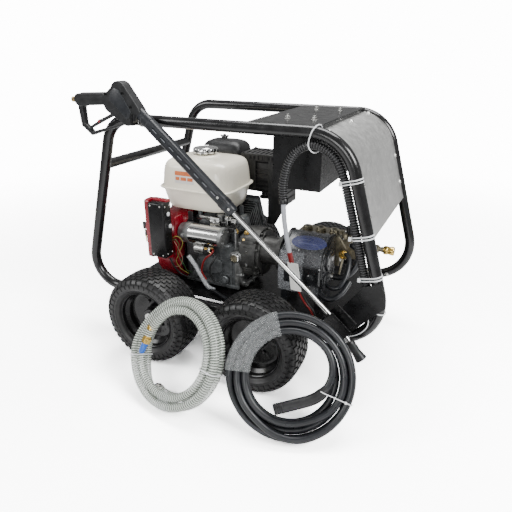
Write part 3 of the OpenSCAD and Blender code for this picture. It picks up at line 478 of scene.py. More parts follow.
def rounded(x0, x1, y0, y1, z, r, n=6):
    """A ring round a rectangle with rounded corners, lying flat."""
    r = min(r, (x1 - x0) / 2 - 0.01, (y1 - y0) / 2 - 0.01)
    points = []
    for cx, cy, a in ((x1 - r, y1 - r, 0), (x0 + r, y1 - r, 90), (x0 + r, y0 + r, 180),
                      (x1 - r, y0 + r, 270)):
        for k in range(n + 1):
            t = radians(a + 90 * k / n)
            points.append(Vector((cx + r * cos(t), cy + r * sin(t), z)))
    return points


def sweep(points, radii, sides):
    """Rings round a path, carried along it without twist."""
    rings, last = [], None
    for i, p in enumerate(points):
        d = (points[min(i + 1, len(points) - 1)] - points[max(i - 1, 0)]).normalized()
        u = last - d * last.dot(d) if last is not None else d.orthogonal()
        u.normalize()
        last = u
        v = d.cross(u)
        rings.append([p + (u * cos(t) + v * sin(t)) * radii[i]
                      for t in (2 * pi * k / sides for k in range(sides))])
    return rings


def spline(points, n):
    """The smooth route that the CAD model uses through the same points."""
    p = [Vector(q) for q in points]
    out = []
    for i in range(len(p) - 1):
        a, b, c, d = p[max(i - 1, 0)], p[i], p[i + 1], p[min(i + 2, len(p) - 1)]
        for k in range(n):
            t = k / n
            out.append(0.5 * (2 * b + (c - a) * t + (2 * a - 5 * b + 4 * c - d) * t * t
                              + (3 * b - a - 3 * c + d) * t ** 3))
    out.append(p[-1])
    return out


def resample(points, step):
    """The same route with points at equal distances, and its length."""
    total = [0.0]
    for a, b in zip(points, points[1:]):
        total.append(total[-1] + (b - a).length)
    count = max(2, round(total[-1] / step))
    out, j = [], 0
    for i in range(count + 1):
        s = total[-1] * i / count
        while j < len(total) - 2 and total[j + 1] < s:
            j += 1
        t = (s - total[j]) / max(1e-9, total[j + 1] - total[j])
        out.append(points[j].lerp(points[j + 1], t))
    return out, total[-1]


def smoothed(points, n, step):
    """The smooth route through the points, with points at equal distances."""
    return resample(spline(points, n), step)[0]


def soften(node, material, bevel=0.0, angle=32, dissolve=0.8):
    """The CAD node's own shape with welded points, rounded edges and a finish."""
    source = nodes[node]
    mesh = source.data.copy()
    mesh.name = node + "_shape"
    rework(mesh, weld=True, flatten=dissolve)
    if mesh.attributes.get("custom_normal"):
        mesh.attributes.remove(mesh.attributes["custom_normal"])
    return place(mesh, node + "_skin", material, source["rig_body"], [node], bevel, angle)


# ------------------------------------------------------------------ hoses

SUCTION = dict(floor=(-17, -557), lean=28, turn=-12, radius=163)
DELIVERY = dict(floor=(352, -533), lean=30, turn=19.5, radius=171)


def coil_axes(coil):
    """Centre and axes of a coil: across, up its face, and out of its front."""
    lean, turn = radians(coil["lean"]), radians(coil["turn"])
    u = Vector((cos(turn), sin(turn), 0))
    v = Vector((-sin(turn) * sin(lean), cos(turn) * sin(lean), cos(lean)))
    w = Vector((sin(turn) * cos(lean), -cos(turn) * cos(lean), sin(lean)))
    return Vector((*coil["floor"], 0)) + v * coil["radius"], u, v, w


def coil_route(coil, slots, shift, start, way, extra=0, step=3):
    """Turns that lie in the slots (radius, depth) one after the other, moving over one at a time."""
    centre, u, v, w = coil_axes(coil)
    count = len(slots)
    out = []
    angle = 0.0
    end = 360 * count - (count - 1) * shift + extra
    while angle <= end + 1e-6:
        r, h = slots[0]
        for i in range(count - 1):
            lo = 360 * (i + 1) - (i + 1) * shift
            t = min(1, max(0, (angle - lo) / shift))
            t = t * t * (3 - 2 * t)
            r += (slots[i + 1][0] - slots[i][0]) * t
            h += (slots[i + 1][1] - slots[i][1]) * t
        a = radians(start + way * angle)
        out.append(centre + (u * cos(a) + v * sin(a)) * r + w * h)
        angle += step
    return out


def in_coil(coil, x, y, h):
    centre, u, v, w = coil_axes(coil)
    return centre + u * x + v * y + w * h


# Delivery hose: six turns, the last one leaving inwards to its end fitting
delivery_slots = [(119.5, 10.4), (140, 10.4), (160.7, 10.4), (160.7, 30.7), (140, 30.7), (119.5, 30.7)]
delivery_route = coil_route(DELIVERY, delivery_slots, 60, 45, -1, extra=-60)
leaving = [(24.6 + 85 * cos(radians(a)), 24.2 + 85 * sin(radians(a)), 33.4 - a * 0.06)
           for a in range(30, -71, -20)] + [(17, -67.5, 38), (-16, -78, 38)]
delivery_route += spline([delivery_route[-1]] + [in_coil(DELIVERY, *p) for p in leaving], 5)[1:]
delivery_route, delivery_length = resample(delivery_route, 7.5)
curve = bpy.data.curves.new("delivery_hose", "CURVE")
curve.dimensions = "3D"
curve.bevel_depth = 10 * MM
curve.bevel_resolution = 6
line = curve.splines.new("POLY")
line.points.add(len(delivery_route) - 1)
for point, p in zip(line.points, delivery_route):
    point.co = (*(p * MM), 1)
line.use_smooth = True
curve.use_fill_caps = True
curve.materials.append(hose_black)
delivery = bpy.data.objects.new("delivery_hose", curve)
bpy.context.scene.collection.objects.link(delivery)
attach(delivery, "delivery_coil")
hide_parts("delivery_coil")

# Rubber sleeve and ribbed collar on the end that shows, and a plain ferrule on the other
sleeve = Build()
tail, _ = resample(delivery_route[-18:], 5)
radii = [10.6 + 4.0 * min(1, i / 4) for i in range(len(tail))]
radii[-1] = 13.5
sleeve.rings(sweep(tail, radii, 28))
out_way = (tail[-1] - tail[-2]).normalized()
collar = [(12.5, -2), (14.8, -1), (14.8, 0)]
for i in range(4):
    collar += [(15.2, 1 + i * 5), (15.2, 3.6 + i * 5), (13.6, 4.2 + i * 5), (13.6, 5.4 + i * 5)]
collar += [(15.2, 21), (14.5, 23), (8, 23), (8, 12)]
sleeve.lathe(collar, tail[-1], out_way, 36, caps=(True, True))
sleeve_piece = sleeve.piece("delivery_end_sleeve", plastic, "delivery_coil", slot="black_plastic")
ferrule = Build()
back_way = (delivery_route[0] - delivery_route[1]).normalized()
ferrule.lathe([(10.1, -24), (10.6, -23), (10.6, -2), (10.2, 0), (7, 0), (7, 9), (5, 9), (5, 2)],
              delivery_route[0], back_way, 32)
ferrule_piece = ferrule.piece("delivery_start_ferrule", zinc, "delivery_coil", slot="zinc")

# Suction hose: clear, with a white spiral in its wall
suction_slots = [(123.8, 13.2), (149.6, 13.2), (149.6, 38.8), (123.8, 38.8)]
suction_route = coil_route(SUCTION, suction_slots, 60, -100, 1, extra=10)
inward = [(104, 119, 45), (118, 112, 52), (134, 102, 54), (148, 99, 54), (161, 97, 54), (169, 96, 54)]
suction_route += spline([suction_route[-1]] + [in_coil(SUCTION, r * cos(radians(a)),
                                                       r * sin(radians(a)), h) for a, r, h in inward], 5)[1:]
suction_route, suction_length = resample(suction_route, 1.4)
hose = Build()
SIDES = 16
pitch = 7.0
step = suction_length / (len(suction_route) - 1)
rings, ribs = [], []
for i, ring in enumerate(sweep(suction_route, [1.0] * len(suction_route), SIDES)):
    out = []
    for k, p in enumerate(ring):
        wave = 0.5 + 0.5 * cos(2 * pi * (i * step / pitch - k / SIDES))
        out.append(suction_route[i] + (p - suction_route[i]) * (11.8 + 0.6 * wave ** 2))
        ribs.append(wave)
    rings.append(out)
hose.rings(rings)
hose.rib = ribs
suction = hose.piece("suction_hose", hose_clear, "suction_coil", ["suction_coil"], angle=80,
                     slot="hose_clear")
tail_way = (suction_route[-1] - suction_route[-6]).normalized()
barb = Build()
barb.lathe([(12.6, -30), (13.6, -29), (13.6, -20), (12.6, -19)], suction_route[-1], tail_way, 32)
barb.lathe([(10, -2), (10, 6), (14, 7), (14, 20), (11, 21), (11, 24), (6, 24)], suction_route[-1], tail_way,
           8)
barb_piece = barb.piece("suction_end_fitting", gold, "suction_coil", slot="brass")
plug = Build()
plug.lathe([(8.5, 23), (9.5, 25), (9, 50), (6, 56)], suction_route[-1], tail_way, 24)
plug_piece = plug.piece("suction_end_plug", finish("blue_plastic", (0.01, 0.09, 0.42), 0.3), "suction_coil",
                        slot="black_plastic")
start_way = (suction_route[0] - suction_route[5]).normalized()
start = Build()
start.lathe([(12.6, -30), (13.6, -29), (13.6, -20), (12.6, -19)], suction_route[0], start_way, 32)
start.lathe([(9, -4), (9, 6), (14, 7), (14, 18), (10, 19), (10, 26)], suction_route[0], start_way, 24)
start_piece = start.piece("suction_start_fitting", zinc, "suction_coil", slot="zinc")


# ------------------------------------------------------------------ frame and wheels

# Each CAD node shown with its own shape: its material, the width of its rounded edges, and where they
# differ from the usual, its smoothing angle and the angle under which flat faces merge
for name, *look in (
        ("hoop_near", black_gloss, 0, 40, 0), ("hoop_far", black_gloss, 0, 40, 0),
        ("cross_tubes", black_gloss, 0, 40, 0), ("deck_plate", deck_black, 0.8),
        ("top_plate", black_satin, 0.5), ("end_cover", stainless, 0, 30, 0), ("frame_screws", zinc, 0.3),
        ("battery_box", black_satin, 1.2), ("battery", plastic, 2.0), ("lance_rests", black_satin, 0.7),
        ("axles", zinc, 0), ("axle_caps", zinc, 1.5), ("engine_block", cast_grey, 1.5),
        ("crank_cover", cast_light, 1.8), ("cylinder_head", cast_grey, 0.8), ("flywheel", cast_light, 0),
        ("crankshaft", steel, 0), ("piston", steel, 0), ("fan_cover", red, 0, 28, 0),
        ("recoil_cover", red, 0.4, 28, 0), ("recoil_handle", plastic, 1.5),
        ("muffler_guard", exhaust, 0.3), ("starter_motor", chrome, 1.0), ("ignition_key", plastic, 0.5),
        ("engine_mounts", rubber, 1.0), ("throttle_lever", steel, 0.4), ("gear_case", gear_grey, 1.2),
        ("drive_pinion", steel, 0), ("driven_gear", steel, 0), ("pump_shaft", steel, 0),
        ("pump_case", pump_black, 2.0), ("pump_head", dull_brass, 1.0), ("plungers", ceramic, 0),
        ("unloader_valve", dull_brass, 1.0), ("unloader_knob", plastic, 1.0),
        ("coupler_sleeve", gold, 0.4), ("lance_tube", steel, 0), ("nozzle_guard", plastic, 0.8, 30)):
    soften(name, *look)
WHEEL_Y, WHEEL_Z = 343.5, 151.5
WHEELS = (("left_near", -199.5, -1), ("left_far", -199.5, 1), ("right_near", 170.5, -1),
          ("right_far", 170.5, 1))
for wheel, x, side in WHEELS:
    soften("rim_" + wheel, rim_black, 0.8)


# Pneumatic tyres with a block tread
CARCASS = [(97, -47), (98, -51), (103, -55), (108, -58.5), (109.5, -60.5), (112, -60.8), (113.5, -59.8),
           (120, -60.6),
           (127, -60.4), (133, -58.6), (138.4, -55), (142.4, -49.5), (144.8, -43), (146, -34), (146.8, -22),
           (147.2, -10), (147.3, 0)]
CARCASS += [(r, -y) for r, y in CARCASS[-2::-1]]


def tyre_mesh():
    b = Build()
    b.lathe(CARCASS + [(95, 47), (95, -47)], (0, 0, 0), (0, 1, 0), 144, closed=True)
    # Arc length along the carcass, to place the rows of blocks
    length = [0.0]
    for p, q in zip(CARCASS, CARCASS[1:]):
        length.append(length[-1] + dist(p, q))

    def at(s, lift):
        i = max(k for k in range(len(length) - 1) if length[k] <= s)
        t = (s - length[i]) / (length[i + 1] - length[i])
        (r0, y0), (r1, y1) = CARCASS[i], CARCASS[i + 1]
        dr, dy = r1 - r0, y1 - y0
        n = hypot(dr, dy)
        return r0 + dr * t + lift * dy / n, y0 + dy * t - lift * dr / n

    middle = length[-1] / 2
    pitch = 14.6
    for row in range(-5, 6):
        s = middle + row * pitch
        count = 40
        tall = 3.6 if abs(row) < 5 else 2.2
        half_s = 5.6 if abs(row) < 4 else 6.0
        half_t = 0.37 if row % 2 else 0.33
        for k in range(count):
            mid = k + (0.5 if row % 2 else 0.0)
            rows = []
            for ds in (-half_s, -half_s * 0.15, half_s * 0.7, half_s):
                rows.append([])
                for inset, lift in ((0.0, -0.6), (0.035, tall)):
                    f = 1 - inset * 3
                    for side in (-1, 1):
                        r, y = at(s + ds * f, lift)
                        t = 2 * pi * (mid + side * (half_t - inset)) / count
                        rows[-1].append((r * cos(t), y, r * sin(t)))
            v = [p for q in rows for p in q]
            f = []
            for i in range(3):
                a, c = i * 4, i * 4 + 4
                f += [(a + 2, a + 3, c + 3, c + 2), (a, a + 2, c + 2, c), (a + 1, c + 1, c + 3, a + 3)]
            f += [(0, 1, 3, 2), (12, 14, 15, 13)]
            b.add(v, f)
    return b


for name, x, side in WHEELS:
    t = tyre_mesh()
    turn = rnd.uniform(0, 6.28)
    c, s = cos(turn), sin(turn)
    t.v = [(x + px * c - pz * s, side * WHEEL_Y + py, WHEEL_Z + px * s + pz * c) for px, py, pz in t.v]
    t.piece("tyre_%s_tread" % name, rubber, "wheel_" + name, ["tyre_" + name], angle=40, slot="tyre")


# ------------------------------------------------------------------ shaping helpers

def cable(name, points, r, material, body="root", sides=12, n=6, step=4, replaces=(), slot=None):
    """A round wire or hose through the points."""
    b = Build()
    b.tube(smoothed(points, n, step), r, sides)
    return b.piece(name, material, body, replaces, angle=60, slot=slot)


def remeshed(name, node, material, voxel, rounds, extra, slot):
    """The CAD node joined with extra shapes, remeshed and smoothed like a moulding."""
    source = nodes[node]
    mesh = rework(source.data.copy(), weld=True)
    other = extra.mesh(name + "_extra")
    rework(mesh, also=other, outward=True)
    bpy.data.meshes.remove(other)
    work = bpy.data.objects.new(name + "_work", mesh)
    bpy.context.scene.collection.objects.link(work)
    remesh = work.modifiers.new("remesh", "REMESH")
    remesh.mode = "VOXEL"
    remesh.voxel_size = voxel * MM
    smooth = work.modifiers.new("smooth", "SMOOTH")
    smooth.factor = 0.6
    smooth.iterations = rounds
    graph = bpy.context.evaluated_depsgraph_get()
    done = bpy.data.meshes.new_from_object(work.evaluated_get(graph))
    bpy.data.objects.remove(work)
    return place(done, name, material, source["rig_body"], [node], angle=70, slot=slot)


def squircle(cx, cy, a, b, z, power=4.0, n=48):
    """A ring between an ellipse and a rectangle, lying flat."""
    ring = []
    for k in range(n):
        t = 2 * pi * k / n
        c, s = cos(t), sin(t)
        ring.append(Vector((cx + a * copysign(abs(c) ** (2 / power), c),
                            cy + b * copysign(abs(s) ** (2 / power), s), z)))
    return ring


# ------------------------------------------------------------------ fuel tank, cap, air cleaner and muffler

tank_lo, tank_hi = (c * 1000 for c in map(Vector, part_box("fuel_tank")))
tank_mid = (tank_lo + tank_hi) / 2
tank_a, tank_b = (tank_hi.x - tank_lo.x) / 2, (tank_hi.y - tank_lo.y) / 2
TANK_POWER = 5.2  # how square the tank's corners are
tank = Build()
profile = [(447, 34), (449, 29), (455, 24.5), (470, 20), (495, 14), (514, 10), (517, 8.5), (518, 1), (519, 0),
           (522, 0), (523, 1), (524, 8), (530, 9), (550, 10.5), (575, 13), (590, 16), (600, 20), (606, 25),
           (610.5, 32), (613.5, 41), (615.3, 54), (616, 75)]
tank.rings([squircle(tank_mid.x, tank_mid.y, tank_a - inset, tank_b - inset, z, TANK_POWER, 96) for z,
            inset in profile])
tank.piece("fuel_tank_shell", cream, "root", ["fuel_tank"], angle=28, slot="tank_cream")

neck = Vector((-178, -14, 0))
ring = Build()
ring.lathe([(50, 611), (50, 616), (47, 619), (42, 620)], neck, UP, 64)
ring.piece("filler_neck", cream, slot="tank_cream")
cap = Build()
rings = []
for r, z, wave in ((40, 624.6, 0), (42.2, 625.5, 0.7), (42.4, 630, 1.1), (42.2, 638, 1.0), (41, 640.5, 0.4),
                   (38, 641.5, 0), (35, 642, 0), (33, 640.6, 0), (30, 640.2, 0), (26, 643, 0), (14, 644.6, 0),
                   (2, 645, 0)):
    rings.append([neck + Vector((cos(t) * q, sin(t) * q, z)) for t, q in
                  ((2 * pi * k / 120, r + wave * cos(12 * 2 * pi * k / 120)) for k in range(120))])
cap.rings(rings)
cap.piece("fuel_cap_shell", chrome, "fuel_cap", ["fuel_cap"], angle=35, slot="chrome")

paper_white = finish("label_white", (0.72, 0.70, 0.66), 0.4, spread=0.05)
orange = finish("label_orange", (0.62, 0.16, 0.05), 0.4, spread=0.15, blotch=90)


def tank_label():
    """A plain label that follows the tank's rounded side: a bright band over a pale field."""
    for name, material, z0, z1, x0, x1, lift in (
            ("tank_label_field", paper_white, 541, 581, -226, -152, 0.5),
            ("tank_label_band", orange, 567, 581, -226, -152, 0.8),
            ("tank_label_block_a", orange, 551, 562, -223, -207, 0.8),
            ("tank_label_block_b", orange, 551, 562, -203, -181, 0.8),
            ("tank_label_block_c", orange, 551, 562, -177, -156, 0.8)):
        b = Build()
        grid = []
        for j in range(5):
            z = z0 + (z1 - z0) * j / 4
            inset = next(i0 + (i1 - i0) * (z - a0) / (a1 - a0) for (a0, i0),
                         (a1, i1) in zip(profile, profile[1:])
                         if a0 <= z <= a1)
            a, h = tank_a - inset, tank_b - inset
            grid.append([])
            for i in range(13):
                x = x0 + (x1 - x0) * i / 12
                q = min(0.999, abs(x - tank_mid.x) / a)
                y = tank_mid.y - h * (1 - q ** TANK_POWER) ** (1 / TANK_POWER) - lift
                grid[-1].append((x, y, z))
        b.sheet(grid)
        b.piece(name, material, slot="tank_cream")


tank_label()

wing_lo, wing_hi = (c * 1000 for c in map(Vector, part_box("wing_nut")))
WING_POST = (-193, 150, 0)  # the air cleaner's stud
cleaner = Build()
fx, fy = -186, 153
cleaner.rings([squircle(fx, fy, 84 - i, 61 - i, z, 4.6, 72) for z, i in (
    (500, 8), (504, 3), (520, 1), (560, 1), (563, 4), (566, 4), (569, 0), (600, 0), (618, 3), (630, 9),
    (638, 18),
    (643, 32), (645.5, 48), (646, 58))])
cleaner.box((-156, 108, 452), (-120, 132, 502), 3)
cleaner.lathe([(16, 644), (16, wing_lo.z - 1.8), (13, wing_lo.z - 0.8), (9, wing_lo.z - 0.5)],
              WING_POST, UP, 40)
cleaner.piece("air_cleaner_shell", plastic, "root", ["air_cleaner"], angle=32, slot="black_plastic")
wing = Build()
base = wing_lo.z
wing.lathe([(9, base), (10, base + 2), (8, (base + wing_hi.z) / 2), (5, wing_hi.z)], WING_POST, UP, 24)
for side in (-1, 1):
    path = [Vector((-193 + side * d, 150, base + h)) for d, h in ((5, 3), (10, 5), (14, 8), (17, 9))]
    wing.rings(sweep(path, [3.6, 4.2, 4.4, 2.8], 12))
wing.piece("wing_nut_shell", plastic, "wing_nut", ["wing_nut"], angle=40, slot="black_plastic")

EXHAUST_PIPE = (-24, 150, 0)  # the pipe under the muffler
silencer = Build()
silencer.rings([squircle(0, 154.5, 62 - i, 50.5 - i, z, 5, 64) for z, i in (
    (470, 8), (473, 3), (478, 0), (520, 0), (524, -1), (528, -1), (532, 0), (576, 0), (581, 3), (584, 9))])
for i in range(5):
    silencer.box((-44, 101.6, 484 + i * 17), (44, 106, 490 + i * 17), 1.2)
silencer.lathe([(15, 440), (15, 470)], EXHAUST_PIPE, UP, 32)
silencer.lathe([(22, 440), (22, 447), (18, 449)], EXHAUST_PIPE, UP, 32)
silencer.piece("muffler_shell", exhaust, "root", ["muffler"], angle=34, slot="exhaust")

# Louvres and screws of the muffler's guard
louvres = Build()
for i in range(9):
    x = -90 + i * 17.5
    louvres.rings([[Vector((x + dx, 95.2 - dy, z)) for dx, dy in ((0, 0), (1, 3.2), (8, 3.2), (9, 0))]
                   for z in (590, 605)])
for x, y in ((-90, 100), (62, 100), (-90, 205), (62, 205)):
    louvres.bolt((x, y, 610), UP, 4, 3.4)
louvres.piece("guard_louvres", exhaust, slot="exhaust")
shield = Build()
shield.rings([[Vector((x, y, z)) for x, y in ((72, 93), (75, 93), (75, 205), (72, 205))]
              for z in (430, 586)])
for i in range(6):
    shield.box((74, 104, 448 + i * 22), (78, 192, 454 + i * 22), 1.5)
shield.box((-97, 96, 476), (-40, 98.5, 590), 0.8)
shield.piece("muffler_side_shield", exhaust, slot="exhaust")


# ------------------------------------------------------------------ starter's control box

box = Build()
box.rings([[Vector((p.z, p.x, p.y)) for p in rounded(y0, y1, 306, 506, x, 9, 8)]
           for x, y0, y1 in ((-276, -247, -207), (-275, -249, -205), (-272, -250, -204), (-259, -250, -204))])
box.rings([rounded(-262, -203, -228 + i, -204 - i, z, 4, 4) for z,
           i in ((306, 2), (308, 0), (504, 0), (506, 2))])
box.box((-250, -206.5, 288), (-220, -196, 330), 1)
box.lathe([(16, 0), (16, 4), (14.5, 6), (14, 8), (10, 8)], (-276, -227, 408), LEFT, 40)
box.piece("control_box_case", red, "root", ["control_box"], bevel=1.2, slot="red_cover")
front = Build()
front.rings([rounded(-261 + i, -199.5 - i, -253.5 + i, -209, z, 6, 6)
             for z, i in ((312, 5), (314, 2), (318, 0), (494, 0), (498, 2), (500, 5))])
front.tube([(-199.2, -248, 440), (-199.2, -214, 440)], 0.8, 6)
front.piece("control_box_front", black_satin, bevel=1.0, slot="black_plastic")
caps = Build()
for y, z in ((-228, 461), (-221, 418)):
    caps.lathe([(7.0, 0), (7.0, 2.2), (6.0, 3.2), (2.5, 3.8)], (-199.5, y, z), RIGHT, 28)
caps.piece("breaker_buttons", white_tie, slot="ceramic")
screws = Build()
for y, z in ((-243, 488), (-243, 326), (-217, 488), (-217, 326)):
    screws.dome((-199.4, y, z), RIGHT, 3.2, 2)
for x in (-250, -212):
    for z in (322, 490):
        screws.dome((x, -253.4, z), NEAR, 3, 1.8)
screws.piece("control_box_screws", zinc, slot="zinc")
key = Build()
key.lathe([(7.5, 0), (8.5, 2), (8.5, 8), (7, 10)], (-284.4, -227, 408), LEFT, 24)
key.box((-306, -229, 397), (-294, -225, 419), 1.6)
key.box((-300, -228.5, 372), (-292, -225.5, 394), 1.4)
key.tube([(-298, -227, 400), (-300, -227, 392), (-297, -227, 388)], 1.0, 8)
key.piece("ignition_key_head", plastic, "ignition_key", ["ignition_key"], bevel=0.5, slot="black_plastic")
blade = Build()
blade.box((-298, -227.8, 350), (-293, -226.4, 374), 0.5)
blade.lathe([(4, -0.6), (5, -0.6), (5, 0.6), (4, 0.6)], (-296, -227, 396), (0, 1, 0), 24, closed=True)
blade.piece("spare_key_blade", gold, "ignition_key", slot="brass")

# Back plate of the control box and its bracket on the blower housing
bracket = Build()
bracket.rings([[Vector((x, p.x, p.y)) for p in rounded(-200, -150, 292, 440, 0, 10, 4)] for x in (-200,
                                                                                                  -194)])
bracket.piece("control_box_bracket", red, bevel=0.8, slot="red_cover")

loom = [((-199, -210, 372), (-186, -214, 382), (-172, -208, 376), (-166, -204, 357), (-178, -203, 330),
         (-190, -200, 306), (-200, -198, 284), (-190, -196, 262), (-176, -190, 248), (-160, -186, 240)),
        ((-199, -214, 366), (-184, -218, 372), (-176, -212, 352), (-186, -208, 322), (-180, -204, 296),
         (-168, -200, 276), (-164, -194, 256), (-150, -180, 244)),
        ((-199, -206, 360), (-190, -208, 350), (-180, -206, 330), (-172, -202, 300), (-186, -200, 270),
         (-204, -196, 262), (-220, -190, 258))]
for i, (route, material) in enumerate(zip(loom, (wire_yellow, finish("wire_green", (0.03, 0.10, 0.03), 0.4),
                                                 finish("wire_pink", (0.34, 0.17, 0.12), 0.4)))):
    cable("box_wire_%d" % i, route, 1.1, material, slot="cable_grey")
cable("box_lead", [(-222, -205, 296), (-214, -200, 270), (-204, -190, 244), (-188, -180, 226),
                   (-160, -172, 214)],
      3.2, wire_black, slot="black_plastic")


# ------------------------------------------------------------------ starter motor

STARTER = (0, -168, 386)  # the starter motor's axis
SOLENOID = (0, -176, 336)  # the solenoid's axis
motor = Build()
motor.lathe([(20, -160), (26, -158), (33.4, -150), (33.4, -146), (32.4, -145), (32.4, -40), (33.4, -39),
             (33.4, -31)],
            STARTER, RIGHT, 64)
motor.piece("starter_body", chrome, slot="chrome")
motor_end = Build()
motor_end.lathe([(34.2, -38), (34.6, -36), (34.6, -28), (32, -25), (22, -23.5), (10, -22), (4, -21)],
                STARTER, RIGHT, 64)
for t in (40, 220):
    y, z = -168 + 22 * cos(radians(t)), 386 + 22 * sin(radians(t))
    motor_end.bolt((-25, y, z), RIGHT, 4, 4)
motor_end.piece("starter_end_cap", cast_light, slot="engine_grey")
nose = Build()
nose.lathe([(24, -192), (29, -188), (31, -176), (34, -170), (35.5, -160), (35.5, -150)], STARTER, RIGHT, 56)
nose.box((-190, -186, 352), (-140, -150, 376), 4)
nose.bolt((-166, -203, 386), NEAR, 5, 5)
nose.piece("starter_nose", cast_light, bevel=0.8, slot="engine_grey")
solenoid = Build()
solenoid.lathe([(14, -134), (16.4, -133), (16.4, -98), (15, -97)], SOLENOID, RIGHT, 40)
solenoid.box((-140, -184, 344), (-104, -168, 362), 2)
solenoid.piece("solenoid_body", zinc, bevel=0.6, slot="zinc")
solenoid_cap = Build()
solenoid_cap.lathe([(15.4, -98), (16.6, -97), (16.6, -80), (14, -74), (9, -72)], SOLENOID, RIGHT, 40)
solenoid_cap.box((-92, -196, 328), (-80, -186, 342), 1.5)
solenoid_cap.piece("solenoid_cap", plastic, slot="black_plastic")
terminals = Build()
for z in (328, 344):
    terminals.bolt((-74, -178, z), RIGHT, 4.2, 9)
terminals.bolt((-84, -194, 346), UP, 3.6, 6)
terminals.piece("solenoid_terminals", brass, slot="brass")
cable("starter_lead_red", [(-66, -180, 344), (-58, -190, 342), (-64, -198, 332), (-80, -200, 318),
                           (-94, -198, 296),
                           (-104, -192, 262), (-92, -186, 232)], 3.3, wire_red, slot="cable_grey")
cable("starter_lead_black", [(-66, -178, 328), (-54, -186, 324), (-58, -194, 306), (-72, -192, 282),
                             (-74, -186, 250), (-62, -180, 224)], 3.6, wire_black, slot="cable_grey")
sleeve_grey = film("clear_sleeve", (0.62, 0.64, 0.66), 0.62, 0.0008)
cable("drain_sleeve", [(-152, -196, 312), (-128, -192, 278), (-106, -190, 240), (-86, -188, 207),
                       (-60, -187, 198)],
      7.5, sleeve_grey, slot="hose_clear")
cable("drain_tube", [(-90, -188, 210), (-70, -190, 199), (-44, -200, 198), (-16, -214, 197),
                     (8, -226, 197)], 6,
      hose_black, slot="hose_black")


# ------------------------------------------------------------------ engine castings

cast = Build()
x0, x1, y_front = -185, 0, -150
cast.box((x0 - 2, y_front - 10, 201), (x1 + 18, y_front + 4, 214), 2.5)
for x in (-172, -132, -92, -52, -12):
    cast.rings([[Vector((x + dx, y_front + 1 - depth, z)) for dx, depth in ((-3, 0), (-3, d), (3, d), (3, 0))]
                for z, d in ((210, 9), (240, 7), (290, 5), (330, 2))])
for z in (244, 300):
    cast.box((x0 + 6, y_front - 4.5, z), (x1 - 6, y_front + 2, z + 5), 1.5)
cast.rings([[Vector((p.x, y_front - depth + 1, p.y)) for p in squircle(-96, 272, 52 - i, 30 - i, 0, 3.4, 48)]
            for depth, i in ((0, 0), (6, 1), (9, 4), (10, 10))])
for x, z in ((-138, 288), (-138, 256), (-54, 288), (-54, 256)):
    cast.bolt((x, y_front - 8, z), NEAR, 4.2, 4.5)
for x in (-150, -36):
    cast.lathe([(15, 0), (15, 6), (11, 8), (11, 16), (6, 17)], (x, y_front - 2, 228), NEAR, 30)
cast.box((-60, -172, 352), (-8, -148, 362), 3)
cast.box((-182, -160, 330), (-150, -148, 352), 3)
cast.piece("crankcase_ribs", cast_grey, bevel=0.9, slot="engine_grey")

# Cover on the shaft side: a raised rim with bolts around a dished face
cover = Build()


def cover_ring(inset, x, n=72):
    """The cover's outline: a rounded shape, wider at the bottom, in the YZ plane."""
    ring = []
    for p in squircle(-60, 288, 88 - inset, 96 - inset, 0, 3.2, n):
        lift = 1 + 0.05 * (288 - p.y) / 90
        ring.append(Vector((x, -60 + (p.x + 60) * lift, p.y)))
    return ring


cover.rings([cover_ring(0, 2), cover_ring(-2, 6), cover_ring(-2, 20), cover_ring(2, 24.5), cover_ring(9, 25),
             cover_ring(12, 21), cover_ring(20, 20.5)], closed=True)
for k in range(14):
    t = 2 * pi * (k + 0.5) / 14
    c, s = cos(t), sin(t)
    at = (24, -60 + 84 * copysign(abs(c) ** 0.62, c), 288 + 92 * copysign(abs(s) ** 0.62, s))
    cover.lathe([(9, -18), (9, 0), (7.5, 1.5)], at, RIGHT, 20)
    cover.bolt((at[0] + 1, at[1], at[2]), RIGHT, 4.6, 5)
cover.piece("cover_rim", cast_light, bevel=0.5, slot="engine_grey")

filler_boss = Build()
filler_boss.lathe([(20, -15), (20, -6), (18, -3), (15, -1)], (10, -166, 322), NEAR, 48)
filler_boss.piece("oil_filler_boss", cast_light, slot="engine_grey")
filler_ring = Build()
filler_ring.lathe([(12.4, 0), (16.2, 0.4), (17, 2), (17, 8), (15.6, 10), (13, 10.4), (12.4, 9)],
                  (10, -164, 322), NEAR, 56, closed=True)
filler_ring.piece("oil_filler_ring", chrome, slot="chrome")
filler_plug = Build()
filler_plug.lathe([(12.5, 0), (12.5, 4.5), (11, 6), (6.5, 6.2), (6, 3.6), (2, 3.6)], (10, -166, 322), NEAR,
                  48)
for k in range(3):
    a = 2 * pi * k / 3
    x, z = 10 + 8 * cos(a), 322 + 8 * sin(a)
    filler_plug.box((x - 1.6, -174.6, z - 1.6), (x + 1.6, -171, z + 1.6), 0.5)
filler_plug.piece("oil_filler_plug", dull_brass, slot="brass")

# Governor arm, springs, rods, carburettor body and pipes under the tank
linkage = Build()
linkage.tube([(-160, -120, 420), (-110, -128, 424), (-60, -124, 418), (-20, -112, 430)], 2.0, 8)
linkage.tube([(-148, -132, 404), (-90, -138, 408), (-36, -130, 402)], 1.6, 8)
linkage.box((-34, -138, 380), (-30, -108, 446), 1)
linkage.box((-96, -140, 396), (-60, -136, 440), 1)
linkage.bolt((-78, -140, 428), NEAR, 5, 5)
linkage.bolt((-78, -140, 406), NEAR, 4, 5)
linkage.lathe([(9, -10), (9, 10), (6, 12)], (-32, -124, 436), RIGHT, 20)
linkage.piece("governor_linkage", steel, slot="steel")
spring = Build()
COILS = 14
turns = []
for k in range(COILS * 10 + 1):
    a = 2 * pi * k / 10
    turns.append((-140 + 50 * k / (COILS * 10), -132 + 3.6 * cos(a), 434 + 3.6 * sin(a)))
spring.tube(turns, 0.8, 6)
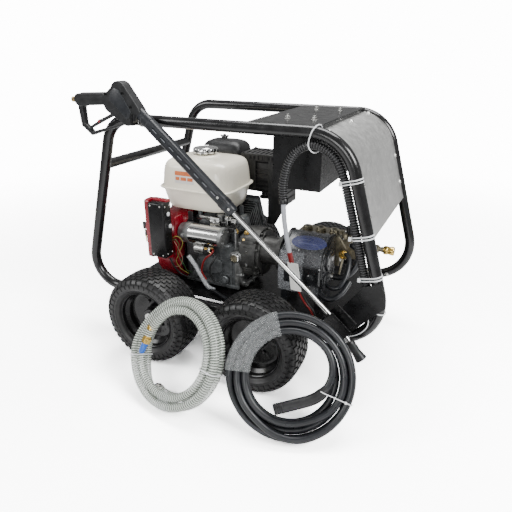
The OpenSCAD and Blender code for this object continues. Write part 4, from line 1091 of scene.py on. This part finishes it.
spring.piece("governor_spring", zinc, slot="steel")
pipes = Build()
pipes.lathe([(11, 447), (11, 438), (8, 436), (8, 428), (5, 426)], (-120, -70, 0), UP, 24)
pipes.lathe([(13, 447), (13, 440), (9, 438), (9, 424), (6, 420)], (-66, -118, 0), UP, 24)
pipes.piece("fuel_outlet", cast_light, slot="engine_grey")
cable("fuel_hose", [(-66, -118, 424), (-62, -122, 408), (-40, -128, 400), (-14, -118, 406), (4, -100, 424),
                    (8, -70, 436)], 4.2, wire_black, slot="black_plastic")
carburettor = Build()
carburettor.box((-150, -110, 392), (-96, -64, 432), 6)
carburettor.lathe([(20, 0), (22, 4), (22, 16), (18, 20)], (-124, -112, 404), NEAR, 30)
carburettor.box((-14, -108, 396), (14, -60, 440), 5)
carburettor.bolt((-4, -109, 424), NEAR, 5, 5)
carburettor.piece("carburettor", cast_grey, bevel=0.8, slot="engine_grey")
plate = Build()
plate.box((-186, -142, 398), (-6, -136, 412), 2)
plate.box((-184, -138, 412), (-164, -132, 447), 2)
plate.piece("tank_bracket", exhaust, slot="black_plastic")
brass_bits = Build()
brass_bits.lathe([(5, 0), (6, 2), (6, 10), (4, 12), (4, 18)], (26, -128, 378), (0.3, -1, 0.2), 20)
brass_bits.bolt((30, -120, 396), (0, -1, 0.3), 6, 6)
brass_bits.piece("brass_fittings", brass, slot="brass")


# ------------------------------------------------------------------ gun, grip and lance

LANCE_Y = -292
tilt = radians(40.8)
along = Vector((cos(tilt), 0, -sin(tilt)))
over = Vector((sin(tilt), 0, cos(tilt)))
grip_start = Vector((-228, LANCE_Y, 784))


def on_lance(s, y, n):
    """A point from its distance along the grip, and across and above its axis."""
    return grip_start + along * s + Vector((0, y, 0)) + over * n


def side_view(b, centre_a, centre_b, wide_a, wide_b, thick, power=3.0):
    """A tapering rounded bar in the gun's side view, with a soft cross-section."""
    a, c = Vector((centre_a[0], LANCE_Y, centre_a[1])), Vector((centre_b[0], LANCE_Y, centre_b[1]))
    d = (c - a).normalized()
    n = Vector((-d.z, 0, d.x))
    rings = []
    for f, k in ((0.0, 0.55), (0.03, 0.85), (0.10, 1.0), (0.5, 1.0), (0.9, 1.0), (0.97, 0.85), (1.0, 0.55)):
        w = (wide_a + (wide_b - wide_a) * f) * k
        rings.append([a.lerp(c, f) + n * p.x + Vector((0, p.y, 0))
                      for p in squircle(0, 0, w, thick / 2 * (0.75 + 0.25 * k), 0, power, 28)])
    b.rings(rings)


handle = Build()
side_view(handle, (-443, 813), (-330, 820), 19, 17, 33, 2.6)
side_view(handle, (-441, 806), (-421, 818), 22, 18, 33, 2.6)
side_view(handle, (-441, 800), (-437, 730), 9.5, 8, 21, 2.6)
remeshed("gun_shell", "gun_body", plastic, 1.5, 9, handle, "black_plastic")
panel = Build()
for y in (LANCE_Y - 17.6, LANCE_Y + 17.6):
    outline = [(-312, 838), (-296, 850), (-281, 846), (-262, 818), (-243, 786), (-250, 770), (-262, 764),
               (-290, 792),
               (-318, 816)]
    inner = [Vector((x, y, z)) for x, z in outline]
    centre = sum(inner, Vector()) / len(inner)
    side = 1 if y > LANCE_Y else -1
    panel.rings([[p + Vector((0, -side * 2.0, 0)) for p in inner],
                 [p + Vector((0, side * 0.6, 0)) for p in inner],
                 [centre + (p - centre) * 0.94 + Vector((0, side * 1.5, 0)) for p in inner]])
panel.piece("gun_side_panels", grip_plastic, "lance", bevel=0.8, slot="black_plastic")
holes = Build()
for x, z in ((-268, 836), (-243, 799), (-262, 775), (-300, 760), (-330, 832)):
    holes.lathe([(3.4, 0.0), (3.4, 2.8), (2.4, 2.8), (2.2, 1.2), (0.4, 1.2)], (x, LANCE_Y - 16.6, z), NEAR,
                20)
holes.piece("gun_screws", black_satin, "lance", slot="black_plastic")
inlet = Build()
inlet.lathe([(9.5, -441), (11.2, -443), (11.2, -455), (9, -457)], (0, LANCE_Y, 811), RIGHT, 6)
ridges = [(8, -457)]
for i in range(8):
    ridges += [(7.2, -458.2 - i * 2.2), (8.2, -459.3 - i * 2.2)]
inlet.lathe(ridges + [(6.6, -476.3), (4.2, -476.6), (4.2, -462)], (0, LANCE_Y, 811), RIGHT, 32)
inlet.piece("gun_inlet_thread", brass, "lance", slot="brass")

blade = Build()
side_view(blade, (-311.5, 777.9), (-360, 757), 5.4, 5.0, 13.4, 3)
side_view(blade, (-352, 761), (-414, 731), 5.4, 4.0, 13.4, 3)
blade.piece("trigger_blade", plastic, "trigger", ["trigger"], angle=60, slot="black_plastic")
mark = Build()
side_view(mark, (-372, 753.6), (-382, 748.8), 4.9, 4.8, 14.4, 3)
mark.piece("trigger_mark", finish("mark_red", (0.20, 0.01, 0.015), 0.4), "trigger", slot="red_cover")
cable("trigger_catch", [(-226, -300, 768), (-225, -303, 756), (-217, -303, 747), (-206, -299, 748),
                        (-203, -296, 757),
                        (-209, -294, 765), (-218, -294, 769)], 2.0, steel, "lance", slot="steel")

# Insulating grip: a round collar, then a sleeve with bevelled sides, slots and a clamp at its lower end
sleeve_body = Build()


def grip_ring(s, half_y, half_n, power, drop=0.0):
    return [on_lance(s, p.x, p.y + drop) for p in squircle(0, 0, half_y, half_n, 0, power, 56)]


sections = [(-1, 14, 14, 2), (0.5, 16.2, 16.6, 2), (10, 16.6, 17.6, 2), (22, 16.6, 18.2, 2.1),
            (23.5, 15.6, 17.2, 2.1),
            (26, 15.6, 17.2, 2.1), (27.5, 16.8, 18.6, 2.2), (44, 16.9, 18.8, 2.4), (46, 15.4, 17.4, 2.4),
            (50, 15.2, 17.6, 2.8), (60, 15.0, 17.6, 3.4), (330, 14.6, 16.8, 3.6), (352, 14.6, 16.8, 3.6),
            (354, 15.6, 17.8, 3.4), (372, 15.8, 18, 3.2), (374, 14.8, 17, 3.2), (377, 14.8, 17, 3.2),
            (379, 15.6, 17.6, 2.8), (396, 14.8, 16.8, 2.4), (401, 12, 14, 2.2), (402, 8.6, 8.6, 2)]
sleeve_body.rings([grip_ring(*q) for q in sections])
cutter = Build()
for i in range(8):
    s0 = 66 + i * 35
    for side in (-1, 1):
        slot = rounded(s0, s0 + 22, -2.6, 3.6, 0, 3.0, 5)
        cutter.rings([[on_lance(p.x, side * deep, p.y + 3.4) for p in slot] for deep in (11.6, 18)])
        if i < 7:
            groove = ((s0 - 6, -6.6), (s0 + 27, -6.6), (s0 + 27, -8.4), (s0 - 6, -8.4))
            cutter.rings([[on_lance(x, side * deep, n) for x, n in groove] for deep in (12.8, 18)])


def carved(body, cutter, name):
    """The first shape with the second cut out of it."""
    objects = []
    for b in (body, cutter):
        o = bpy.data.objects.new(name + "_work", b.mesh(name))
        bpy.context.scene.collection.objects.link(o)
        objects.append(o)
    cut = objects[0].modifiers.new("cut", "BOOLEAN")
    cut.operation = "DIFFERENCE"
    cut.solver = "EXACT"
    cut.object = objects[1]
    done = bpy.data.meshes.new_from_object(objects[0].evaluated_get(bpy.context.evaluated_depsgraph_get()))
    for o in objects:
        bpy.data.objects.remove(o)
    return done


place(carved(sleeve_body, cutter, "grip_sleeve"), "grip_sleeve", grip_plastic, "lance", ["grip"], angle=34,
      slot="grip_grey")
lining = Build()
for i in range(8):
    s0 = 66 + i * 35
    for side in (-1, 1):
        lining.rings([[on_lance(x, side * d, n + 3.4) for x, n in ((s0 + 2, -2.2), (s0 + 20, -2.2),
                                                                   (s0 + 20, -0.7),
                                                                  (s0 + 2, -0.7))] for d in (11.4, 14.9)])
lining.piece("grip_slot_edges", finish("grip_edge", (0.20, 0.21, 0.23), 0.4), "lance", slot="grip_grey")
clamps = Build()
for s in (340, 386):
    clamps.lathe([(3.8, 0), (3.8, 1.8), (2.6, 2.4), (1.2, 1.4)], on_lance(s, -14.4, 4), NEAR, 20)
clamps.piece("grip_screws", zinc, "lance", slot="zinc")
ribs = Build()
for i in range(4):
    ribs.rings([grip_ring(356 + i * 4, 16.3, 18.5, 3.2), grip_ring(357.8 + i * 4, 16.3, 18.5, 3.2)])
ribs.piece("grip_end_ribs", plastic, "lance", bevel=0.3, slot="black_plastic")


# ------------------------------------------------------------------ corrugated conduit and its ties

HOOP_Y = -245
conduit_route = [(209, 563), (206, 595), (210, 632), (222, 672), (246, 705), (284, 723), (322, 713),
                 (349, 693),
                 (368, 662), (381.5, 620), (396, 570), (412, 515), (429, 456), (445, 397), (461, 340),
                 (470, 300),
                 (465, 264), (448, 235), (421, 212.5), (389, 201)]
ribbed = Build()
PITCH, SAMPLES = 7.2, 6
way = resample(spline([(x + (2 if x > 380 and z > 280 else 0), HOOP_Y, z) for x, z in conduit_route], 10),
               PITCH / SAMPLES)[0]
radii = [(9.9, 11.9, 12.5, 12.5, 11.9, 9.9)[i % SAMPLES] for i in range(len(way))]
ribbed.rings(sweep(way, radii, 24))
ribbed.lathe([(12.6, -6), (13.4, -5), (13.4, 8), (9, 9), (7.4, 2)], way[0], way[0] - way[1], 32)
# A mask of the ribs, 1 on the crests and 0 in the gaps, from which the conduit's material paints a highlight
# on each crest and shade in each gap
ribbed.rib = [(0.0, 0.6, 1.0, 1.0, 0.6, 0.0)[i % SAMPLES] for i in range(len(way)) for k in range(24)]
ribbed.rib += [0.3] * (len(ribbed.v) - len(ribbed.rib))
# The black is painted lighter on the crests and darker in the gaps between them: a painted highlight on each
# crest and painted shade in each gap
coat = Nodes("conduit_black_painted_crests")
painted_crest_light_mask = coat.attribute("rib")
coat.link(coat.mix(coat.ranged(painted_crest_light_mask, 0.3, 0.9, 0, 1), (0.0015, 0.0015, 0.0017), (0.022, 0.022, 0.024)),
          coat.shader.inputs["Base Color"])
coat.link(coat.ranged(coat.noise(60, 3), 0.3, 0.7, 0.3, 0.42), coat.shader.inputs["Roughness"])
coat.set(Specular_IOR_Level=0.5)
conduit_black_painted_crests = coat.material
ribbed.piece("conduit_ribbed", conduit_black_painted_crests, "root", ["conduit"], angle=50, slot="black_plastic")


def strap(b, ring, width=3.6, thick=1.2):
    """A flat tie that follows a closed ring of points; the ring's normal is the tie's width."""
    n = len(ring)
    centre = sum(ring, Vector()) / n
    normal = (ring[0] - centre).cross(ring[n // 4] - centre).normalized()
    rings = []
    for i, p in enumerate(ring):
        out = (p - centre).normalized()
        rings.append([p + out * a + normal * c for a, c in ((0, -width / 2), (thick, -width / 2),
                                                            (thick, width / 2),
                                                           (0, width / 2))])
    b.rings(rings, closed=True)


def wrap_ring(centres, radii, normal, n=56):
    """The taut loop round two round bars that cross a plane: their common outline."""
    w = Vector(normal).normalized()
    a, c = (Vector(q) for q in centres)
    u = (c - a).normalized()
    v = w.cross(u)
    d = (c - a).length
    points = []
    for k in range(n):
        t = 2 * pi * k / n
        direction = u * cos(t) + v * sin(t)
        points.append((a, radii[0], direction) if a.dot(direction) + radii[0] > c.dot(direction) + radii[1]
                      else (c, radii[1], direction))
    return [o + d_ * r for o, r, d_ in points]


ties = Build()
leg_start, leg_end = Vector((376.5, HOOP_Y, 755)), Vector((545.5, HOOP_Y, 168))
leg_way = (leg_end - leg_start).normalized()


def leg_point(z):
    """The near hoop's straight leg at a height."""
    return leg_start.lerp(leg_end, (leg_start.z - z) / (leg_start.z - leg_end.z))


def tie_pair(z):
    near = min(way, key=lambda p: abs(p.z - z) + (0 if p.x > 360 else 1000))
    foot = leg_point(z) + leg_way * (near - leg_point(z)).dot(leg_way)
    for gap in (-4, 4):
        strap(ties, wrap_ring((near + leg_way * gap, foot + leg_way * gap), (12.7, 17.1), leg_way))


for z in (632, 486, 372):
    tie_pair(z)
bend_way = Vector((-0.118, 0, -0.993))
bend_point = Vector((502.6, HOOP_Y, 280))
near = min(way, key=lambda p: abs(p.z - 284) + (0 if p.x > 360 else 1000))
near = near + bend_way * (bend_point - near).dot(bend_way)
strap(ties, wrap_ring((near, bend_point), (12.7, 17.1), bend_way))
# One tie hangs the conduit's arch from the top rail, and one closes round its lower bend
loop = [(301, -245, 775), (296, -258, 771), (289, -265, 758), (284, -268, 740), (282, -267, 724),
        (287, -261, 710),
        (295, -248, 703), (301, -234, 707), (304, -226, 722), (305, -223, 740), (305, -225, 757),
        (304, -233, 771)]
ties.tube(smoothed(loop + [loop[0]], 6, 4), 1.7, 8)
low = smoothed([(468, -261, 282), (478, -262, 258), (476, -263, 232), (458, -264, 208), (432, -264, 192),
                (404, -262, 186),
                (384, -258, 190)], 6, 5)
ties.tube(low, 1.5, 8)
for x, z in ((372, 632), (408, 486), (442, 372)):
    ties.box((x - 4, -265, z - 6), (x + 4, -261, z + 6), 0.8)
ties.piece("cable_ties", white_tie, slot="ceramic")


# ------------------------------------------------------------------ battery cable and its tag

cable_route = [(209.2, -245, 561.8), (209, -245, 545), (212, -243, 500), (218, -237, 450), (225, -228, 400),
               (234, -218, 345), (246, -209, 290), (268, -202, 240), (292, -200, 210), (300, -200, 192)]
line = smoothed(cable_route, 6, 4)
upper = [p for p in line if p.z > 368]
lower = [p for p in line if p.z <= 372]
sheath = Build()
sheath.rings(sweep(upper, [6.9] * len(upper), 20))
sheath.piece("battery_cable_sheath", wire_grey, "root", ["starter_cable"], angle=60, slot="cable_grey")
for name, dx, material in (("battery_cable_red", -3.1, wire_red), ("battery_cable_black", 3.1, wire_black)):
    strand = Build()
    points = [p + Vector((dx, 0.6 * dx, 0)) for p in lower]
    strand.rings(sweep(points, [3.3] * len(points), 14))
    strand.piece(name, material, angle=60, slot="cable_grey")
shrink = Build()
middle = [p for p in line if 366 < p.z < 408]
shrink.rings(sweep(middle, [7.6] * len(middle), 20))
shrink.piece("battery_cable_joint", wire_red, angle=60, slot="cable_grey")
tag = Build()
t0, t1 = Vector((236, -232, 372)), Vector((247, -224, 280))
face = (t1 - t0).normalized()
across = Vector((1, -0.25, 0.1)).normalized()
out = across.cross(face).normalized()
TAG_SECTION = ((-19, 0), (19, 0), (19, 1.2), (-19, 1.2))
tag.rings([[at + across * x + out * y for x, y in TAG_SECTION]
           for at in (t0, t0 + face * 46 + out * 1.5, t1)])
tag.piece("cable_tag", paper, slot="ceramic")
bars = Build()
for i in range(3):
    f = 22 + i * 18
    bars.rings([[t0 + face * (f + g) + across * x + out * (y + 1.4) for x,
                 y in ((-12, 0), (12, 0), (12, 1.3), (-12, 1.3))]
                for g in (0, 2.5)])
bars.piece("cable_tag_marks", finish("tag_mark", (0.35, 0.34, 0.36), 0.6), slot="ceramic")

bypass = [(305.1, -66, 274), (320, -66, 273), (340, -66, 275), (360, -64, 284), (376, -58, 302),
          (386, -50, 325),
          (386, -42, 350), (376, -32, 367), (362, -22, 372), (358, -12.1, 372)]
cable("bypass_hose_smooth", bypass, 9.9, hose_black, sides=24, step=4, replaces=["bypass_hose"],
      slot="hose_black")
clips = Build()
for at, way_out in (((312, -66, 273.6), (1, 0, -0.1)), ((359.5, -18, 372), (-0.2, 1, 0.0))):
    clips.lathe([(10.4, -4), (11.4, -4), (11.4, 4), (10.4, 4)], at, way_out, 32, closed=True)
clips.piece("bypass_clips", zinc, slot="zinc")


# ------------------------------------------------------------------ pump, gear case and brass

def oval_label(centre, u, v, a, b, lift, n=48):
    """A thin oval label lying on a flat face."""
    w = u.cross(v).normalized()
    return [[centre + (u * cos(t) * a * k + v * sin(t) * b * k) + w * h
             for t in (2 * pi * i / n for i in range(n))] for k,
             h in ((1, 0), (1, lift), (0.985, lift + 0.3))]


slope_a, slope_b = Vector((0, -126, 372)), Vector((0, -62, 403))
up_slope = (slope_b - slope_a).normalized()
label = Build()
label.rings(oval_label(Vector((238, 0, 0)) + slope_a.lerp(slope_b, 0.5), Vector((1, 0, 0)), up_slope, 58,
                       30, 0.6))
label.piece("pump_label", blue_label, slot="pump_black")
marks = Build()
for x0, x1, f in ((196, 232, 0.62), (204, 268, 0.40)):
    a = slope_a.lerp(slope_b, f)
    marks.rings([[Vector((x, 0, 0)) + a + up_slope * s + Vector((0, -0.44, 0.9)) * h for x, s in
                  ((x0, 0), (x1, 0), (x1, 2.6), (x0, 2.6))] for h in (0.6, 1.5)])
marks.piece("pump_label_marks", finish("label_blue_light", (0.12, 0.14, 0.34), 0.4), slot="pump_black")

trim = Build()
ridge = [(-150, 296), (-148, 332), (-137, 365), (-126, 374), (-62, 405), (-44, 407), (-22, 402)]
for x in (160, 164, 300):
    path = [Vector((x, y, z)) for y, z in ridge]
    trim.rings(sweep(path, [3.2] * len(path), 10))
trim.box((176, -156, 268), (232, -147, 330), 4)
trim.box((240, -157, 266), (298, -147, 332), 5)
trim.lathe([(36, 0), (36, 4), (33, 7), (20, 8.5), (4, 9)], (305, -89, 337), RIGHT, 48)
for k in range(6):
    a = radians(60 * k + 15)
    trim.bolt((309, -89 + 29 * cos(a), 337 + 29 * sin(a)), RIGHT, 4, 5)
for x, z in ((248, 274), (290, 274), (248, 324), (290, 324), (184, 276), (224, 276)):
    trim.bolt((x, -157, z), NEAR, 4, 5)
trim.lathe([(10, 0), (12, 2), (12, 8), (9, 10), (9, 14), (4, 15)], (269, -157, 299), NEAR, 30)
trim.piece("pump_case_trim", pump_black, bevel=0.7, slot="pump_black")
fins = Build()
for i in range(8):
    fins.box((305, -140 + i * 12, 268), (309, -135 + i * 12, 300), 1)
fins.piece("pump_case_fins", pump_black, bevel=0.5, slot="pump_black")
studs = Build()
for x in (180, 217, 254, 291):
    studs.bolt((x, -126, 366), (0, -0.44, 0.9), 4.2, 5)
for y, z in ((-8, 300), (36, 300), (-8, 388), (36, 388)):
    studs.bolt((318, y, z), RIGHT, 6, 7)
studs.piece("pump_bolts", steel, slot="steel")


def crumple(p, depth):
    """A repeatable wrinkle for wrapping film, in millimetres."""
    a = sin(p.x * 0.31 + p.z * 0.23) + sin(p.y * 0.37 - p.x * 0.19 + 1.7)
    b = sin(p.x * 0.83 + p.y * 0.61 - p.z * 0.71) + sin(p.z * 1.1 + p.x * 0.47 + 0.6)
    return depth * (0.5 + 0.14 * a + 0.11 * b)


film_outline = [(-62, 404.5), (-90, 391), (-126, 374), (-137, 366), (-148.5, 332), (-151, 300), (-151, 270),
                (-150, 240)]


def pump_wrap(name, x0, x1, first, material):
    """Film that clings over the pump's top and front."""
    b = Build()
    centre = Vector((0, -80, 320))
    path = resample([Vector((0, y, z)) for y, z in film_outline[first:]], 5)[0]
    cols = round((x1 - x0) / 5)
    grid = []
    for p in path:
        out = (p - centre).normalized()
        row = [p + Vector((x0 + (x1 - x0) * k / cols, 0, 0)) for k in range(cols + 1)]
        grid.append([q + out * (1.5 + crumple(q, 5.0)) for q in row])
    b.sheet(grid)
    b.piece(name, material, angle=70, slot="hose_clear")


pump_wrap("pump_film_front", 158, 240, 3, pump_film)
pump_wrap("pump_film_top", 162, 296, 0, film("pump_film_thin", (0.6, 0.62, 0.66), 0.13, 0.003))

OUTLET = (0, 12, 362)  # the pump's outlet axis
UNLOADER_PLUG = (335, -30, 340)  # the plug on the unloader valve
valves = Build()
for x in (199, 245, 291):
    valves.lathe([(9, 411), (13.5, 411), (15.2, 409), (15.2, 402), (17, 401)], (x, 2, 0), UP, 40)
    valves.lathe([(9.2, 411), (9.2, 406), (2, 406)], (x, 2, 0), UP, 6)
pale_brass = finish("pale_brass", (0.36, 0.33, 0.24), 0.3, metal=1.0, spread=0.2)
valves.piece("valve_cap_rings", pale_brass, bevel=0.4, slot="brass")
plug = Build()
plug.lathe([(13, 0), (15.4, 1), (15.4, 5), (13.5, 7)], UNLOADER_PLUG, NEAR, 44)
plug.lathe([(11.6, 7), (11.6, 14), (10.6, 15), (6.4, 15), (6, 12.5), (1.5, 12.5)], UNLOADER_PLUG, NEAR, 6)
plug.piece("unloader_plug", gold, bevel=0.5, slot="brass")
rods = Build()
rods.tube(smoothed([(337, -44, 330), (334, -50, 308), (331, -54, 286), (328, -56, 268)], 5, 4), 3.4, 10)
rods.tube(smoothed([(343, -42, 366), (334, -46, 384), (322, -40, 398), (306, -26, 404)], 5, 4), 3, 10)
rods.bolt((318, -8, 404), UP, 7, 8)
rods.lathe([(8, 0), (9, 1), (9, 14), (6, 16)], (330, -14, 392), UP, 24)
rods.piece("unloader_pipes", dull_brass, slot="brass")
small = Build()
small.lathe([(9.4, 387), (10.6, 388), (10.6, 396), (9.4, 397)], OUTLET, RIGHT, 40)
small.lathe([(9, 400), (10, 402), (9, 404), (10, 406), (9, 408), (10, 410), (9, 412)], OUTLET, RIGHT, 40)
small.piece("outlet_nipple_ridges", gold, slot="brass")
cable("pump_hose_loop", [(309, -120, 268), (330, -128, 262), (352, -124, 268), (364, -104, 290),
                         (366, -78, 318),
                         (360, -56, 340), (346, -46, 352)], 7.5, hose_black, slot="hose_black")
cable("pump_hose_low", [(300, -150, 246), (322, -158, 238), (346, -152, 240), (366, -130, 256),
                        (378, -100, 282)],
      8.5, hose_black, slot="hose_black")

bell = Build()
outline = rounded(-146, -8, 252, 392, 0, 22, 6)
bell.rings([[Vector((x, -77 + (p.x + 77) * k, 322 + (p.y - 322) * k)) for p in outline]
            for x, k in ((26, 0.97), (29, 1.0), (63, 1.0), (66, 0.98), (66, 0.955), (26, 0.955))],
            closed=True)
for y, z in ((-132, 266), (-22, 266), (-132, 378), (-22, 378)):
    bell.lathe([(12, 24), (12, 72), (10, 74)], (0, y, z), RIGHT, 24)
    bell.bolt((74, y, z), RIGHT, 6, 6)
for z in (284, 322, 358):
    bell.box((30, -152, z - 3), (64, -140, z + 3), 1.5)
for k in range(8):
    a = radians(45 * k)
    bell.bolt((146, -89 + 52 * cos(a), 337 + 52 * sin(a)), LEFT, 4.5, 5)
bell.piece("gear_case_flange", gear_grey, bevel=0.9, slot="gear_case")
for k, (y, z) in enumerate(((-150, 300), (-150, 344))):
    nut = Build()
    nut.bolt((46, y - 2, z), NEAR, 5.5, 6)
    nut.piece("gear_case_plug_%d" % k, steel, slot="steel")

# A dark block fills the space behind the guard's louvres, where there is only shade: painted shade
inner = Build()
inner.box((-92, 99, 588), (66, 207, 605), 2)
inner.piece("guard_louvre_shade_block", exhaust, slot="exhaust")


# ------------------------------------------------------------------ film and ties on the coils

def coil_ring(coil, angle, r0, r1, h0, h1, corner=8, n=5):
    """A ring round all the turns of a coil at one angle."""
    a = radians(angle)
    return [in_coil(coil, p.x * cos(a), p.x * sin(a), p.y) for p in rounded(r0, r1, h0, h1, 0, corner, n)]


def crumpled(ring, scale, depth, shift=0.0):
    """The ring with wrinkles outwards from its middle."""
    centre = sum(ring, Vector()) / len(ring)
    return [p + (p - centre).normalized() * (crumple(p * scale, depth) + shift) for p in ring]


film_mesh = Build()
film_mesh.rings([crumpled(coil_ring(DELIVERY, 104 + 73 * k / 60, 108.6, 171.6, -0.4, 41.6, 9, 7), 1.6, 3.4)
                 for k in range(61)], caps=(False, False))
film_mesh.piece("coil_film", wrap_film, "delivery_coil", angle=80, slot="hose_clear")
TIE_OVER_SLEEVE = [(172.6, 6), (172.6, 36), (166, 42.6), (150, 43), (112, 48.4), (97, 51.4), (86, 48),
                   (81.6, 37),
                   (83, 26), (104, 2), (112, -0.8), (166, -0.8)]


def coil_tie(b, coil, angle, ring, r, h):
    """A round tie along the ring, with its lock on the coil's face."""
    b.rings(sweep(ring + [ring[0]], [1.4] * (len(ring) + 1), 8))
    a = radians(angle)
    lock = in_coil(coil, (r - 18) * cos(a), (r - 18) * sin(a), h)
    b.lathe([(3.2, -1.5), (3.6, 0), (3.6, 3), (2.6, 3.6)], lock, coil_axes(coil)[3], 8)


delivery_ties = Build()
a = radians(-21)
ring = [in_coil(DELIVERY, r * cos(a), r * sin(a), h) for r, h in TIE_OVER_SLEEVE]
coil_tie(delivery_ties, DELIVERY, -21, ring, 172.6, 42.6)
delivery_ties.piece("delivery_coil_ties", white_tie, "delivery_coil", slot="ceramic")
suction_ties = Build()
for angle in (-158, -2):
    ring = coil_ring(SUCTION, angle, 110, 162.8, 0.2, 52.2, 10, 6)
    coil_tie(suction_ties, SUCTION, angle, ring, 162.8, 52.2)
suction_ties.piece("suction_coil_ties", white_tie, "suction_coil", slot="ceramic")
wrap = Build()
wrap.rings([crumpled(coil_ring(SUCTION, -88 + 1.6 * k, 109, 163, 0.2, 51.8, 9, 6), 2, 2.4, -1.2)
            for k in range(12)], caps=(False, False))
wrap.piece("suction_coil_film", wrap_film, "suction_coil", angle=80, slot="hose_clear")


# ------------------------------------------------------------------ wheels, deck and plate details

for name, x, s in WHEELS:
    y = s * WHEEL_Y
    hub = Build()
    hub.lathe([(13.2, 0), (13.2, 22), (25, 22), (26.5, 20), (26.5, 4), (30, 0)], (x, y, WHEEL_Z), (0, s, 0),
              40,
              closed=True)
    for k in range(4):
        a = radians(90 * k + 30)
        hub.bolt((x + 44 * cos(a), y - s * 10, WHEEL_Z + 44 * sin(a)), (0, s, 0), 5.5, 6)
    hub.lathe([(74, -8), (76, -4), (79, -4), (81, -9)], (x, y, WHEEL_Z), (0, s, 0), 72, closed=True)
    hub.piece("hub_%s" % name, rim_black, "wheel_" + name, bevel=0.4, slot="rim_black")
    stem = Build()
    tip = (x + 60, y + s * 34, WHEEL_Z + 44)
    stem.tube([(x + 66, y + s * 4, WHEEL_Z + 50), (x + 62, y + s * 20, WHEEL_Z + 46), tip], 3.2, 10)
    stem.lathe([(4.4, 0), (4.8, 2), (4.8, 9), (3.6, 11)], tip, (-0.05, s, -0.05), 16)
    stem.piece("valve_stem_%s" % name, rubber, "wheel_" + name, slot="tyre")

lip = Build()
lip.box((295, -223, 768.9), (306, 223, 773.6), 1.2)
lip.piece("top_plate_lip", black_satin, slot="plate_black")
deck_bits = Build()
for x in (-380, -280, 380, 440):
    for y in (-205, 205):
        deck_bits.bolt((x, y, 188.9), UP, 6, 6)
deck_bits.piece("deck_bolts", zinc, slot="zinc")
